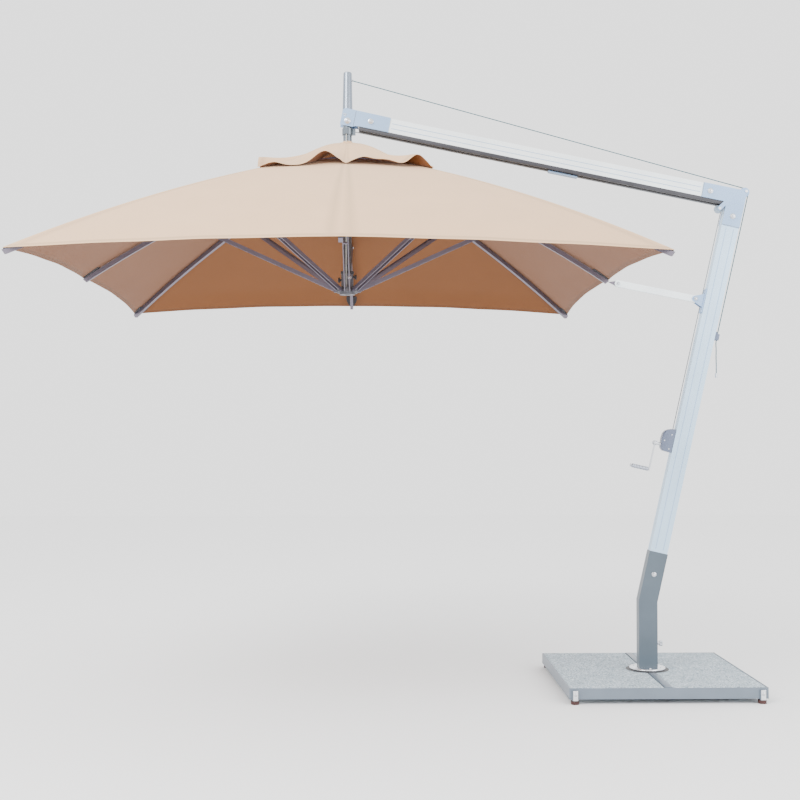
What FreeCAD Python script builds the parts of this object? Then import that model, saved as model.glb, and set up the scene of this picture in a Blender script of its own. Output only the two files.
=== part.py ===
import FreeCAD, Part
import math
import os

Vector = FreeCAD.Vector
Rotation = FreeCAD.Rotation
Placement = FreeCAD.Placement

# Side-post patio umbrella. Origin: on the ground, on the swivel axis of the mast.
# +X points from the canopy towards the mast's back, +Z up, and y = 0 is the mast's plane.

doc = FreeCAD.newDocument("PatioUmbrella")
sheet = doc.addObject("Spreadsheet::Sheet", "Sizes")

sizes = {
    # canopy
    "canopySide": 3000, "midTipLevel": 2300, "cornerTipLevel": 2244, "crownLevel": 2990,
    "ribBow": 55, "edgeSag": 24, "clothThickness": 2, "ventHalfSide": 270,
    "capHalfSide": 485, "capTopLevel": 3076, "capLift": 38,
    "ribWidth": 20, "ribHeight": 25, "hingeRadius": 62, "ribPinRadius": 4,
    "strutReachMid": 925, "strutReachCorner": 925, "strutBarThickness": 5, "strutBarHeight": 22,
    # hanging pole
    "reach": 1708, "pivotLevel": 3207, "poleTopLevel": 3495, "poleRadius": 25, "poleWall": 3,
    "poleFootLevel": 2262, "poleHeadFootLevel": 3268, "poleHeadRadius": 28.5, "poleHeadTopRadius": 24,
    "innerTubeRadius": 19, "innerTubeWall": 2.5, "innerTubeTopLevel": 3452, "lowerHubLevel": 2228,
    "trunnionRadius": 8,
    # mast and boom
    "mastLean": 12.8, "bendLevel": 474, "elbowLevel": 2785, "mastWidth": 100, "mastDepth": 60,
    "tubeWall": 3, "boomSlope": 11.3, "boomHeight": 80, "plateThickness": 4,
    "elbowPlateBoom": 202, "elbowPlateMast": 177, "elbowOverlap": 2, "axleEarRadius": 12,
    "sleeveWidth": 106, "sleeveDepth": 66, "sleeveFootLevel": 100, "sleeveTopAlong": 282,
    "boreTopLevel": 340, "spigotRadius": 30, "spigotTopLevel": 336,
    # base
    "paverSide": 500, "paverThickness": 50, "paverFootLevel": 37, "paverGap": 7, "spineWidth": 40,
    "railHeight": 58, "railFootLevel": 27, "railThickness": 5, "flangeRadius": 96,
    # ropes and pulleys
    "ropeRadius": 3, "cableRadius": 2.5, "rearPulleyRadius": 22, "innerPulleyRadius": 18,
    "cleatAlong": -810,
    # winch and stay
    "winchAlong": -1452, "crankLength": 163, "gripLength": 98, "stayPinX": -158, "stayPinLevel": 2284,
    "stayFootX": 286, "stayFootLevel": 2197,
}
for row, (alias, value) in enumerate(sizes.items(), start=1):
    sheet.set("A%d" % row, alias)
    sheet.set("B%d" % row, str(value))
    sheet.setAlias("B%d" % row, alias)
doc.recompute()


def size(alias):
    return float(sheet.get(alias))


parts = []
running = 0.05  # radial clearance of a pin in its hole
clear = 0.2  # gap between pieces that slide together at assembly


def addPart(obj, label):
    obj.Label = label
    parts.append(obj)
    return obj


def bind(obj, **expressions):
    for prop, text in expressions.items():
        obj.setExpression(prop, text)
    return obj


def box(name, corner, x, y, z):
    """A Part::Box with its sides as expressions and its low corner as numbers."""
    obj = bind(doc.addObject("Part::Box", name), Length=x, Width=y, Height=z)
    obj.Placement = Placement(Vector(*corner), Rotation())
    return obj


def cylinder(name, start, direction, radius, length):
    """A Part::Cylinder along any direction, its radius and length as expressions."""
    obj = bind(doc.addObject("Part::Cylinder", name), Radius=radius, Height=length)
    obj.Placement = Placement(Vector(*start), Rotation(Vector(0, 0, 1), Vector(*direction)))
    return obj


def fuse(name, shapes):
    obj = doc.addObject("Part::MultiFuse", name)
    obj.Shapes = shapes
    return obj


def cut(name, base, tool):
    obj = doc.addObject("Part::Cut", name)
    obj.Base = base
    obj.Tool = tool
    return obj


def group(name, shapes):
    """Separate solids kept side by side in one node."""
    obj = doc.addObject("Part::Compound", name)
    obj.Links = shapes
    return obj


def sketchOn(body, name, role):
    sketch = body.newObject("Sketcher::SketchObject", name)
    sketch.AttachmentSupport = [([f for f in body.Origin.OriginFeatures if f.Role == role][0], "")]
    sketch.MapMode = "FlatFace"
    return sketch


def drawLoop(sketch, points):
    """A closed loop through (x, z) points; a point given as ("arc", x, z) is the middle of an arc."""
    corners = [i for i, p in enumerate(points) if p[0] != "arc"]
    for k, i in enumerate(corners):
        j = corners[(k + 1) % len(corners)]
        start = Vector(points[i][0], points[i][1], 0)
        end = Vector(points[j][0], points[j][1], 0)
        middle = points[(i + 1) % len(points)]
        if middle[0] == "arc":
            sketch.addGeometry(Part.Arc(start, Vector(middle[1], middle[2], 0), end), False)
        else:
            sketch.addGeometry(Part.LineSegment(start, end), False)


def plate(name, points, thickness, holes=(), centre=0):
    """A body padded evenly about y = centre from an outline in the XZ plane, with round holes."""
    body = doc.addObject("PartDesign::Body", name)
    sketch = sketchOn(body, name + "Outline", "XZ_Plane")
    drawLoop(sketch, points)
    for x, z, radius in holes:
        sketch.addGeometry(Part.Circle(Vector(x, z, 0), Vector(0, 0, 1), radius), False)
    pad = bind(body.newObject("PartDesign::Pad", name + "Pad"), Length=thickness)
    pad.Profile = sketch
    pad.SideType = "Symmetric"
    body.Placement = Placement(Vector(0, centre, 0), Rotation())
    return body


def pocket(body, name, points, depth):
    """Cuts an outline in the XZ plane evenly about y = 0 through a body."""
    sketch = sketchOn(body, name + "Outline", "XZ_Plane")
    drawLoop(sketch, points)
    feature = bind(body.newObject("PartDesign::Pocket", name), Length=depth)
    feature.Profile = sketch
    feature.SideType = "Symmetric"
    return feature


def roundedRope(name, label, points, radius, corners=None):
    """A tube along straight runs joined by tangent arcs, and its length and radii printed."""
    runs = [points[i + 1] - points[i] for i in range(len(points) - 1)]
    edges = []
    radii = []
    start = points[0]
    for i in range(1, len(points) - 1):
        before, after = runs[i - 1], runs[i]
        turn = before.getAngle(after)
        bend = 0.45 * min(before.Length, after.Length) / math.tan(turn / 2)
        if corners and corners[i - 1]:
            bend = corners[i - 1]
        back = bend * math.tan(turn / 2)
        inward = points[i] - before.normalize() * back
        outward = points[i] + after.normalize() * back
        middle = points[i] + (inward + outward - points[i] * 2).normalize() * (
            bend / math.cos(turn / 2) - bend)
        edges.append(Part.LineSegment(start, inward).toShape())
        edges.append(Part.Arc(inward, middle, outward).toShape())
        runs = [points[k + 1] - points[k] for k in range(len(points) - 1)]
        radii.append(round(bend, 1))
        start = outward
    edges.append(Part.LineSegment(start, points[-1]).toShape())
    path = Part.Wire(edges)
    section = Part.Wire([Part.makeCircle(radius, points[0], points[1] - points[0])])
    tube = path.makePipeShell([section], True, False)
    expected = math.pi * radius ** 2 * path.Length
    print("%s: length %.0f, radii %s, volume ratio %.4f" % (
        label, path.Length, radii, tube.Volume / expected))
    obj = doc.addObject("Part::Feature", name)
    obj.Shape = tube
    return addPart(obj, label)


# ---------------------------------------------------------------- places worked out from the sizes
lean = math.radians(size("mastLean"))
slope = math.radians(size("boomSlope"))
alongMast = Vector(math.sin(lean), 0, math.cos(lean))
outOfMast = Vector(math.cos(lean), 0, -math.sin(lean))
alongBoom = Vector(math.cos(slope), 0, -math.sin(slope))
aboveBoom = Vector(math.sin(slope), 0, math.cos(slope))
bend = Vector(0, 0, size("bendLevel"))
elbow = Vector((size("elbowLevel") - size("bendLevel")) * math.tan(lean), 0, size("elbowLevel"))
hangerX = -size("reach")
pivot = Vector(hangerX, 0, size("pivotLevel"))


def mastPoint(along, outward, y=0):
    """A point at a distance up the mast from the elbow and out from its axis, away from the canopy."""
    return elbow + alongMast * along + outOfMast * outward + Vector(0, y, 0)


def boomPoint(along, above, y=0):
    """A point at a distance along the boom past the elbow, and above its axis."""
    return elbow + alongBoom * along + aboveBoom * above + Vector(0, y, 0)


def intersect(a, directionA, b, directionB):
    """Where two lines in the mast's plane cross."""
    cross = directionA.x * directionB.z - directionA.z * directionB.x
    step = ((b.x - a.x) * directionB.z - (b.z - a.z) * directionB.x) / cross
    return a + directionA * step


def flat(points):
    return [(p.x, p.z) for p in points]


# ---------------------------------------------------------------- base
halfX = size("paverSide") + size("spineWidth") / 2 + 3
halfY = size("paverSide") + size("paverGap") / 2 + 2
railFoot = size("railFootLevel")
wall = size("railThickness")


def makeBaseFrame():
    outer = [
        box("FrontRail", (-halfX - wall, -halfY - wall, railFoot),
            "(Sizes.paverSide + Sizes.spineWidth / 2 + 3 + Sizes.railThickness) * 2",
            "Sizes.railThickness", "Sizes.railHeight"),
        box("RearRail", (-halfX - wall, halfY, railFoot),
            "(Sizes.paverSide + Sizes.spineWidth / 2 + 3 + Sizes.railThickness) * 2",
            "Sizes.railThickness", "Sizes.railHeight"),
        box("LeftRail", (-halfX - wall, -halfY - 1, railFoot),
            "Sizes.railThickness", "(Sizes.paverSide + Sizes.paverGap / 2 + 2) * 2 + 2", "Sizes.railHeight"),
        box("RightRail", (halfX, -halfY - 1, railFoot),
            "Sizes.railThickness", "(Sizes.paverSide + Sizes.paverGap / 2 + 2) * 2 + 2", "Sizes.railHeight"),
        box("FrontLedge", (-halfX - 1, -halfY - 1, railFoot), "Sizes.paverSide * 2 + 46", "40", "9.5"),
        box("RearLedge", (-halfX - 1, halfY - 39, railFoot), "Sizes.paverSide * 2 + 46", "40", "9.5"),
        box("MiddleLedge", (-halfX - 1, -40, railFoot), "Sizes.paverSide * 2 + 46", "80", "9.5"),
        box("LeftLedge", (-halfX - 1, -halfY - 1, railFoot), "40", "Sizes.paverSide * 2 + 13", "9.5"),
        box("RightLedge", (halfX - 39, -halfY - 1, railFoot), "40", "Sizes.paverSide * 2 + 13", "9.5"),
        box("SpineLedge", (-50, -halfY - 1, railFoot), "100", "Sizes.paverSide * 2 + 13", "9.5"),
        box("Spine", (-size("spineWidth") / 2 + 1, -halfY - 1, railFoot),
            "Sizes.spineWidth - 2", "Sizes.paverSide * 2 + 13", "Sizes.railHeight + 1"),
        box("LeftWeb", (-halfX - 1, -1.5, railFoot), "Sizes.paverSide + 10", "3", "Sizes.railHeight - 6"),
        box("RightWeb", (halfX - size("paverSide") - 9, -1.5, railFoot),
            "Sizes.paverSide + 10", "3", "Sizes.railHeight - 6"),
    ]
    for sideX in (-1, 1):
        for sideY in (-1, 1):
            outer.append(box("CornerLug", (sideX * (halfX - 26) - 16, sideY * (halfY + 7.5) - 3.5, 20),
                             "32", "7", "54"))
            outer.append(box("LugFoot", (sideX * (halfX - 26) - 16, sideY * (halfY - 6) - 17, 20),
                             "32", "34", "8"))
    addPart(fuse("BaseFrame", outer + [makeSpigot()]), "base_frame")


def makePavers():
    slabs = []
    side = size("paverSide")
    gapX = size("spineWidth") / 2 + 1
    gapY = size("paverGap") / 2
    for x in (-gapX - side, gapX):
        for y in (-gapY - side, gapY):
            slabs.append(box("Paver", (x, y, size("paverFootLevel")),
                             "Sizes.paverSide", "Sizes.paverSide", "Sizes.paverThickness"))
    addPart(group("Pavers", slabs), "paving_slabs")


def makeFeet():
    pads = []
    for x in (-halfX + 26, halfX - 26):
        for y in (-halfY + 6, halfY - 6):
            pads.append(cylinder("Pad", (x, y, 0), (0, 0, 1), "22", "19.5"))
    addPart(group("FootPads", pads), "foot_pads")


def makeSpigot():
    """Spigot with its flange, welded on the spine: a revolved profile."""
    body = doc.addObject("PartDesign::Body", "SwivelSpigot")
    sketch = sketchOn(body, "SpigotProfile", "XZ_Plane")
    radius = size("spigotRadius")
    flange = size("flangeRadius")
    flangeFoot = railFoot + size("railHeight") + 2.5
    flangeTop = size("sleeveFootLevel") - 0.5
    drawLoop(sketch, [(12, railFoot), (17, railFoot), (17, flangeFoot), (flange, flangeFoot),
                      (flange, flangeTop - 5), (flange - 7, flangeTop), (radius, flangeTop),
                      (radius, size("spigotTopLevel")), (12, size("spigotTopLevel"))])
    turn = body.newObject("PartDesign::Revolution", "SpigotTurn")
    turn.Profile = sketch
    turn.ReferenceAxis = (sketch, ["V_Axis"])
    turn.Angle = 360
    return body


makeBaseFrame()
makePavers()
makeFeet()


# ---------------------------------------------------------------- mast, boom and their plates
socketBolt = bend + alongMast * 155


def makeMastFoot():
    """Bent sleeve: a bored bearing block below, an open socket for the mast above the bend."""
    half = size("sleeveWidth") / 2
    top = size("sleeveTopAlong")
    tilt = math.tan(lean / 2)
    outline = [Vector(-half, 0, size("sleeveFootLevel")), Vector(half, 0, size("sleeveFootLevel")),
               bend + Vector(half, 0, -half * tilt), bend + alongMast * top + outOfMast * half,
               bend + alongMast * top - outOfMast * half, bend + Vector(-half, 0, half * tilt)]
    inner = size("mastWidth") / 2 + clear
    socket = [Vector(-inner, 0, size("boreTopLevel")), Vector(inner, 0, size("boreTopLevel")),
              bend + Vector(inner, 0, -inner * tilt), bend + alongMast * (top + 1) + outOfMast * inner,
              bend + alongMast * (top + 1) - outOfMast * inner, bend + Vector(-inner, 0, inner * tilt)]
    body = plate("MastFoot", flat(outline), "Sizes.sleeveDepth", [(socketBolt.x, socketBolt.z, 4.7)])
    pocket(body, "Socket", flat(socket), "Sizes.mastDepth + 0.4")
    doc.recompute()
    bore = sketchOn(body, "SwivelBoreCircle", "XY_Plane")
    bore.addGeometry(Part.Circle(Vector(0, 0, 0), Vector(0, 0, 1), size("spigotRadius") + running), False)
    hole = bind(body.newObject("PartDesign::Pocket", "SwivelBore"), Length="(Sizes.boreTopLevel + 1) * 2")
    hole.Profile = bore
    hole.SideType = "Symmetric"
    doc.recompute()
    lockHole = cylinder("LockHole", (30, 0, 232), (1, 0, 0), "6 + 0.05", "40")
    addPart(cut("BoredMastFoot", body, lockHole), "mast_foot")


def tube(name, points, inner, depth, label):
    body = plate(name, flat(points), depth)
    pocket(body, name + "Hollow", flat(inner), depth + " - 2 * Sizes.tubeWall")
    return addPart(body, label)


def makeMast():
    half = size("mastWidth") / 2
    inner = half - size("tubeWall")
    low = -(elbow - bend).Length + 8
    high = -52
    points = [mastPoint(low, -half), mastPoint(low, half), mastPoint(high, half), mastPoint(high, -half)]
    hollow = [mastPoint(low - 5, -inner), mastPoint(low - 5, inner),
              mastPoint(high + 5, inner), mastPoint(high + 5, -inner)]
    tube("MastTube", points, hollow, "Sizes.mastDepth", "mast_tube")


def makeBoom():
    half = size("boomHeight") / 2
    inner = half - size("tubeWall")
    left = (hangerX + 68 - elbow.x) / math.cos(slope)
    right = 12
    points = [boomPoint(left, -half), boomPoint(right, -half), boomPoint(right, half), boomPoint(left, half)]
    hollow = [boomPoint(left - 5, -inner), boomPoint(right + 5, -inner),
              boomPoint(right + 5, inner), boomPoint(left - 5, inner)]
    tube("BoomTube", points, hollow, "Sizes.mastDepth", "boom_tube")


plateY = size("mastDepth") / 2 + size("plateThickness") / 2 + clear
cableDrop = 30  # from the boom's underside to the cable
cableOut = 15.2  # from the mast's inner face to the cable
rearAxleOut = 46  # from the mast's axis
rearAxle = mastPoint(40, rearAxleOut)
innerAxleOut = -size("mastWidth") / 2 - cableOut - size("innerPulleyRadius")
innerAxleAbove = -size("boomHeight") / 2 - cableDrop - size("innerPulleyRadius")
innerAxle = intersect(mastPoint(0, innerAxleOut), alongMast, boomPoint(0, innerAxleAbove), alongBoom)
elbowBolts = [boomPoint(-157, 0), mastPoint(-118, 0)]
bracketBolt = boomPoint((hangerX + 133 - elbow.x) / math.cos(slope), 0)


def makeElbowPlates():
    """A pair of L-shaped plates that join the boom and the mast, with an ear for each pulley's axle."""
    boomHalf = size("boomHeight") / 2 + size("elbowOverlap")
    mastHalf = size("mastWidth") / 2 + size("elbowOverlap")
    boomEnd = -size("elbowPlateBoom")
    mastEnd = -size("elbowPlateMast")
    ear = size("axleEarRadius")
    underside = boomPoint(0, -boomHalf)
    innerFace = mastPoint(0, -mastHalf)
    run = innerAxle - intersect(underside, alongBoom, innerFace, alongMast)
    down = run * (1 / run.Length)
    across = Vector(down.z, 0, -down.x)
    left, right = innerAxle + across * ear, innerAxle - across * ear
    tip = innerAxle + down * ear
    shoulder = rearAxle + (outOfMast + alongMast) * (ear / math.sqrt(2))
    outline = flat([boomPoint(boomEnd, -boomHalf), intersect(left, down, underside, alongBoom), left])
    outline += [("arc", tip.x, tip.z)]
    outline += flat([right, intersect(right, down, innerFace, alongMast), mastPoint(mastEnd, -mastHalf),
                     mastPoint(mastEnd, mastHalf), mastPoint(15, mastHalf), rearAxle + outOfMast * ear])
    outline += [("arc", shoulder.x, shoulder.z)]
    outline += flat([rearAxle + alongMast * ear, boomPoint(10, boomHalf), boomPoint(boomEnd, boomHalf)])
    holes = [(p.x, p.z, 6.1) for p in elbowBolts] + [(p.x, p.z, 5.1) for p in (rearAxle, innerAxle)]
    return [plate("ElbowPlate%d" % k, outline, "Sizes.plateThickness", holes, y)
            for k, y in enumerate((-plateY, plateY))]


def makeBoomBracket():
    """A pair of cheek plates: the boom's end is bolted between them, the hanging pole swings in them."""
    right = (hangerX + 240 - elbow.x) / math.cos(slope)
    left = (hangerX - 33 - elbow.x) / math.cos(slope)
    half = size("boomHeight") / 2 + 3
    outline = [boomPoint(left, -half - 8), boomPoint(left + 70, -half - 8), boomPoint(left + 90, -half),
               boomPoint(right, -half), boomPoint(right, half), boomPoint(left + 12, half + 4),
               boomPoint(left, half - 8)]
    holes = [(pivot.x, pivot.z, size("trunnionRadius") + 0.1)]
    holes += [(bracketBolt.x, bracketBolt.z, 6.1)]
    return [plate("BracketPlate%d" % k, flat(outline), "Sizes.plateThickness", holes, y)
            for k, y in enumerate((-plateY, plateY))]


def boltAcross(name, place, radius, halfLength, headRadius, headHeight):
    """A bolt along Y with a head at one end and a nut at the other."""
    x, z = place.x, place.z
    return fuse(name, [
        cylinder(name + "Shank", (x, -halfLength, z), (0, 1, 0), str(radius), str(2 * halfLength)),
        cylinder(name + "Head", (x, -halfLength - headHeight, z), (0, 1, 0), str(headRadius),
                 str(headHeight)),
        cylinder(name + "Nut", (x, halfLength, z), (0, 1, 0), str(headRadius), str(headHeight))])


def makeFrameBolts():
    outside = plateY + size("plateThickness") / 2 + 0.2
    bolts = [boltAcross("ElbowBolt%d" % k, p, 5.5, outside, 11, 9) for k, p in enumerate(elbowBolts)]
    bolts.append(boltAcross("BracketBolt", bracketBolt, 5.5, outside, 11, 9))
    bolts.append(boltAcross("SocketBolt", socketBolt, 4.5, size("sleeveDepth") / 2 + 0.2, 9, 7))
    bolts += [boltAcross("Axle%d" % k, p, 5, outside, 8, 5) for k, p in enumerate((rearAxle, innerAxle))]
    addPart(group("FrameBolts", bolts + makeTrunnions()), "frame_bolts")


def drillAcross(body, name, places, radius):
    """Holes along Y through a body for the bolts that cross it."""
    sketch = sketchOn(body, name + "Circles", "XZ_Plane")
    for p in places:
        sketch.addGeometry(Part.Circle(Vector(p.x, p.z, 0), Vector(0, 0, 1), radius), False)
    feature = body.newObject("PartDesign::Pocket", name)
    feature.Profile = sketch
    feature.SideType = "Symmetric"
    feature.Length = 200
    return feature


def makeTrunnions():
    """Two short bolts, one in each cheek, that enter the pole's wall and leave its bore open."""
    bolts = []
    outside = plateY + size("plateThickness") / 2 + 0.2
    wallInside = size("poleRadius") - size("poleWall") + 0.9
    for k, sideY in enumerate((-1, 1)):
        bolts.append(fuse("Trunnion%d" % k, [
            cylinder("TrunnionShank", (pivot.x, sideY * wallInside, pivot.z), (0, sideY, 0),
                     "Sizes.trunnionRadius", str(outside - wallInside)),
            cylinder("TrunnionHead", (pivot.x, sideY * outside, pivot.z), (0, sideY, 0), "15", "8"),
            cylinder("TrunnionCap", (pivot.x, sideY * (outside + 8), pivot.z), (0, sideY, 0), "10", "4")]))
    return bolts


def makePulley(name, label, axle, radius, cordRadius):
    """A grooved wheel about an axle along Y; radius is to the middle of the cord in its groove."""
    boreRadius = 5 + running
    groove = radius - cordRadius - 0.3
    body = doc.addObject("PartDesign::Body", name)
    sketch = sketchOn(body, name + "Profile", "XY_Plane")
    drawLoop(sketch, [(boreRadius, -6), (radius + 5, -6), (radius + 5, -5), (groove, -2.4),
                      (groove, 2.4), (radius + 5, 5), (radius + 5, 6), (boreRadius, 6)])
    turn = body.newObject("PartDesign::Revolution", name + "Turn")
    turn.Profile = sketch
    turn.ReferenceAxis = (sketch, ["V_Axis"])
    turn.Angle = 360
    body.Placement = Placement(axle, Rotation())
    addPart(body, label)


makeMastFoot()
makeMast()
makeBoom()
mastBody = [p for p in parts if p.Label == "mast_tube"][0]
boomBody = [p for p in parts if p.Label == "boom_tube"][0]
drillAcross(mastBody, "MastBoltHoles", [elbowBolts[1], socketBolt], 5.7)
drillAcross(boomBody, "BoomBoltHoles", [elbowBolts[0], bracketBolt], 5.7)
addPart(group("JointPlates", makeElbowPlates() + makeBoomBracket()), "joint_plates")
makeFrameBolts()
makePulley("RearPulley", "rear_pulley", rearAxle, size("rearPulleyRadius"), size("ropeRadius"))
makePulley("InnerPulley", "inner_pulley", innerAxle, size("innerPulleyRadius"), size("cableRadius"))


def makeLockKnob():
    shank = cylinder("LockShank", (31, 0, 232), (1, 0, 0), "6", "34")
    collar = cylinder("LockCollar", (58, 0, 232), (1, 0, 0), "9", "10")
    lobes = [cylinder("LockHub", (68, 0, 232), (1, 0, 0), "13", "18")]
    for k in range(4):
        angle = math.radians(90 * k + 45)
        lobes.append(cylinder("LockLobe", (70, 11 * math.cos(angle), 232 + 11 * math.sin(angle)),
                              (1, 0, 0), "7", "14"))
    addPart(fuse("LockKnob", [shank, collar] + lobes), "lock_knob")


makeLockKnob()


# ---------------------------------------------------------------- winch
winchCentre = mastPoint(size("winchAlong"), -size("mastWidth") / 2)
winchHalf = 68
drumAlong = 9
drumOut = 36
drumRadius = 18


def winchPoint(along, outward):
    return winchCentre + alongMast * along - outOfMast * outward


def makeWinchHousing():
    """Wedge-shaped housing on the mast's inner face, hollow around the drum and the worm."""
    outline = [winchPoint(-winchHalf, 0.3), winchPoint(-winchHalf + 6, 52), winchPoint(-winchHalf + 14, 64),
               winchPoint(10, 72), winchPoint(winchHalf - 20, 66), winchPoint(winchHalf, 26),
               winchPoint(winchHalf, 0.3)]
    inner = [winchPoint(-winchHalf + 8, 5), winchPoint(-winchHalf + 12, 50), winchPoint(-winchHalf + 18, 58),
             winchPoint(10, 66), winchPoint(winchHalf - 24, 60), winchPoint(winchHalf - 6, 24),
             winchPoint(winchHalf - 6, 5)]
    body = plate("WinchHousing", flat(outline), "54")
    pocket(body, "WinchHollow", flat(inner), "44")
    doc.recompute()
    drill = cylinder("CrankHole", tuple(winchPoint(-30, 40)), tuple(outOfMast * -1), "8 + 0.05", "60")
    cable = cylinder("CableMouth", tuple(winchPoint(20, cableOut)), tuple(alongMast), "6", "80")
    centre = winchPoint(drumAlong, drumOut)
    axle = cylinder("DrumAxleHole", (centre.x, -40, centre.z), (0, 1, 0), "6 + 0.05", "80")
    addPart(cut("BoredWinchHousing", body, fuse("WinchDrills", [drill, cable, axle])), "winch_housing")


def makeDrum():
    """Cable drum with the worm wheel on its side; its axis runs along Y."""
    centre = winchPoint(drumAlong, drumOut)
    drum = [cylinder("DrumBarrel", (centre.x, -12, centre.z), (0, 1, 0), str(drumRadius), "18"),
            cylinder("DrumCheekA", (centre.x, -14, centre.z), (0, 1, 0), "24", "3"),
            cylinder("DrumCheekB", (centre.x, 5, centre.z), (0, 1, 0), "24", "3"),
            cylinder("DrumAxle", (centre.x, -26, centre.z), (0, 1, 0), "6", "52")]
    teeth = []
    for k in range(24):
        tooth = doc.addObject("Part::Box", "WheelTooth")
        bind(tooth, Length="4", Width="12", Height="27")
        angle = 360 / 24 * k
        turnTooth = Rotation(Vector(0, 1, 0), angle)
        tooth.Placement = Placement(Vector(centre.x, 7.5, centre.z) + turnTooth.multVec(Vector(-2, 0, 0)),
                                    turnTooth)
        teeth.append(tooth)
    wheel = cylinder("WheelDisc", (centre.x, 7.5, centre.z), (0, 1, 0), "24.5", "12")
    addPart(fuse("CableDrum", drum + [wheel] + teeth), "cable_drum")


def makeCrank():
    """Worm, shaft and arm in one piece; the shaft stands square to the mast's inner face."""
    direction = outOfMast * -1
    back = winchPoint(-30, 8)
    outside = winchPoint(-30, 96)
    shaft = cylinder("WormShaft", tuple(back), tuple(direction), "8", "100")
    worm = cylinder("Worm", tuple(winchPoint(-30, 20)), tuple(direction), "11", "34")
    down = (alongMast * -1)
    boss = cylinder("CrankBoss", tuple(winchPoint(-30, 90)), tuple(direction), "13", "18")
    arm = doc.addObject("Part::Box", "CrankArm")
    bind(arm, Length="Sizes.crankLength", Width="16", Height="7")
    turnArm = Placement(outside, Rotation(down, direction.cross(down), direction, "XZY"))
    arm.Placement = Placement(turnArm.Base - turnArm.Rotation.multVec(Vector(0, 8, 0)), turnArm.Rotation)
    pin = cylinder("GripPin", tuple(outside + down * (size("crankLength") - 8)), tuple(direction),
                   "5", "Sizes.gripLength + 12")
    washer = cylinder("GripWasher", tuple(outside + down * (size("crankLength") - 8)
                      + direction * (size("gripLength") + 11)), tuple(direction), "8", "3")
    eye = cylinder("CrankEye", tuple(outside + down * (size("crankLength") - 8)), tuple(direction), "9", "7")
    addPart(fuse("Crank", [shaft, worm, boss, arm, pin, washer, eye]), "crank")


def makeGrip():
    direction = outOfMast * -1
    start = winchPoint(-30, 96) - alongMast * (size("crankLength") - 8) + direction * 9
    body = doc.addObject("PartDesign::Body", "CrankGrip")
    sketch = sketchOn(body, "GripProfile", "XZ_Plane")
    end = size("gripLength")
    bore = 5 + running
    drawLoop(sketch, [(bore, 0), (10, 0), (12, 6), (12, end - 10), ("arc", 11, end - 3), (8, end),
                      (bore, end)])
    turn = body.newObject("PartDesign::Revolution", "GripTurn")
    turn.Profile = sketch
    turn.ReferenceAxis = (sketch, ["V_Axis"])
    turn.Angle = 360
    body.Placement = Placement(start, Rotation(Vector(0, 0, 1), direction))
    addPart(body, "crank_grip")


makeWinchHousing()
makeDrum()
makeCrank()
makeGrip()


# ---------------------------------------------------------------- stay arm and its trolley
stayFoot = Vector(size("stayFootX"), 0, size("stayFootLevel"))
stayPin = Vector(size("stayPinX"), 0, size("stayPinLevel"))


def makeTrolley():
    """A shoe on the mast's inner face that slides along it, with two ears for the arm."""
    middle = (stayFoot - elbow).dot(alongMast)
    half = 70
    inside = size("mastWidth") / 2 + 0.6
    outer = inside + 7
    outline = [mastPoint(middle - half, -outer), mastPoint(middle - half, -inside),
               mastPoint(middle + half, -inside), mastPoint(middle + half, -outer)]
    pieces = [plate("TrolleyShoe", flat(outline), "52")]
    rim = (stayFoot - elbow).dot(outOfMast)
    for k, y in enumerate((-18, 18)):
        ear = [mastPoint(middle - 40, -outer + 1), mastPoint(middle + 40, -outer + 1),
               mastPoint(middle + 14, rim - 12), mastPoint(middle - 14, rim - 12)]
        tip = mastPoint(middle, rim - 19)
        outlineEar = flat(ear[:3]) + [("arc", tip.x, tip.z)] + flat(ear[3:])
        pieces.append(plate("TrolleyEar%d" % k, outlineEar, "5", (), y))
    pieces.append(cylinder("StayPin", (stayFoot.x, -24, stayFoot.z), (0, 1, 0), "6", "48"))
    addPart(fuse("Trolley", pieces), "stay_trolley")


def makeStayArm():
    """A bar with an eye at the trolley and a fork at the canopy."""
    run = stayPin - stayFoot
    direction = Vector(run.x, run.y, run.z).normalize()
    side = Vector(0, 1, 0)
    length = run.Length
    across = direction.cross(side)
    barEnd = stayFoot + direction * (length - 42)
    bar = plate("StayBar", flat([stayFoot + across * 18.5, barEnd + across * 18.5, barEnd - across * 18.5,
                                 stayFoot - across * 18.5]), "27")
    eye = cylinder("StayEye", (stayFoot.x, -15.1, stayFoot.z), (0, 1, 0), "21", "30.2")
    pieces = [bar, eye]
    for k, y in enumerate((-9, 9)):
        far = stayPin
        near = stayFoot + direction * (length - 50)
        tip = far + direction * 19
        outline = flat([near - across * 18, far - across * 19]) + [("arc", tip.x, tip.z)]
        outline += flat([far + across * 19, near + across * 18])
        pieces.append(plate("StayFork%d" % k, outline, "6", (), y))
        bossStart = y + (2 if y > 0 else -8)
        pieces.append(cylinder("ForkBoss%d" % k, (far.x, bossStart, far.z), (0, 1, 0), "9", "6"))
    solid = fuse("StayArmSolid", pieces)
    hole = cylinder("StayHole", (stayFoot.x, -20, stayFoot.z), (0, 1, 0), "6 + 0.05", "40")
    addPart(cut("StayArm", solid, hole), "stay_arm")


makeTrolley()
makeStayArm()


# ---------------------------------------------------------------- hanging pole, crown and lower hub
fairleadHeight = 36
cableUnder = boomPoint(-300, -size("boomHeight") / 2 - cableDrop)
cableEnd = intersect(cableUnder, alongBoom, Vector(hangerX + 47, 0, 0), Vector(0, 0, 1))


def ring(name, centreX, low, high, outer, inner):
    tubeOuter = cylinder(name + "Outer", (centreX, 0, low), (0, 0, 1), outer, str(high - low))
    tubeInner = cylinder(name + "Inner", (centreX, 0, low - 5), (0, 0, 1), inner, str(high - low + 10))
    return cut(name, tubeOuter, tubeInner)


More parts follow.
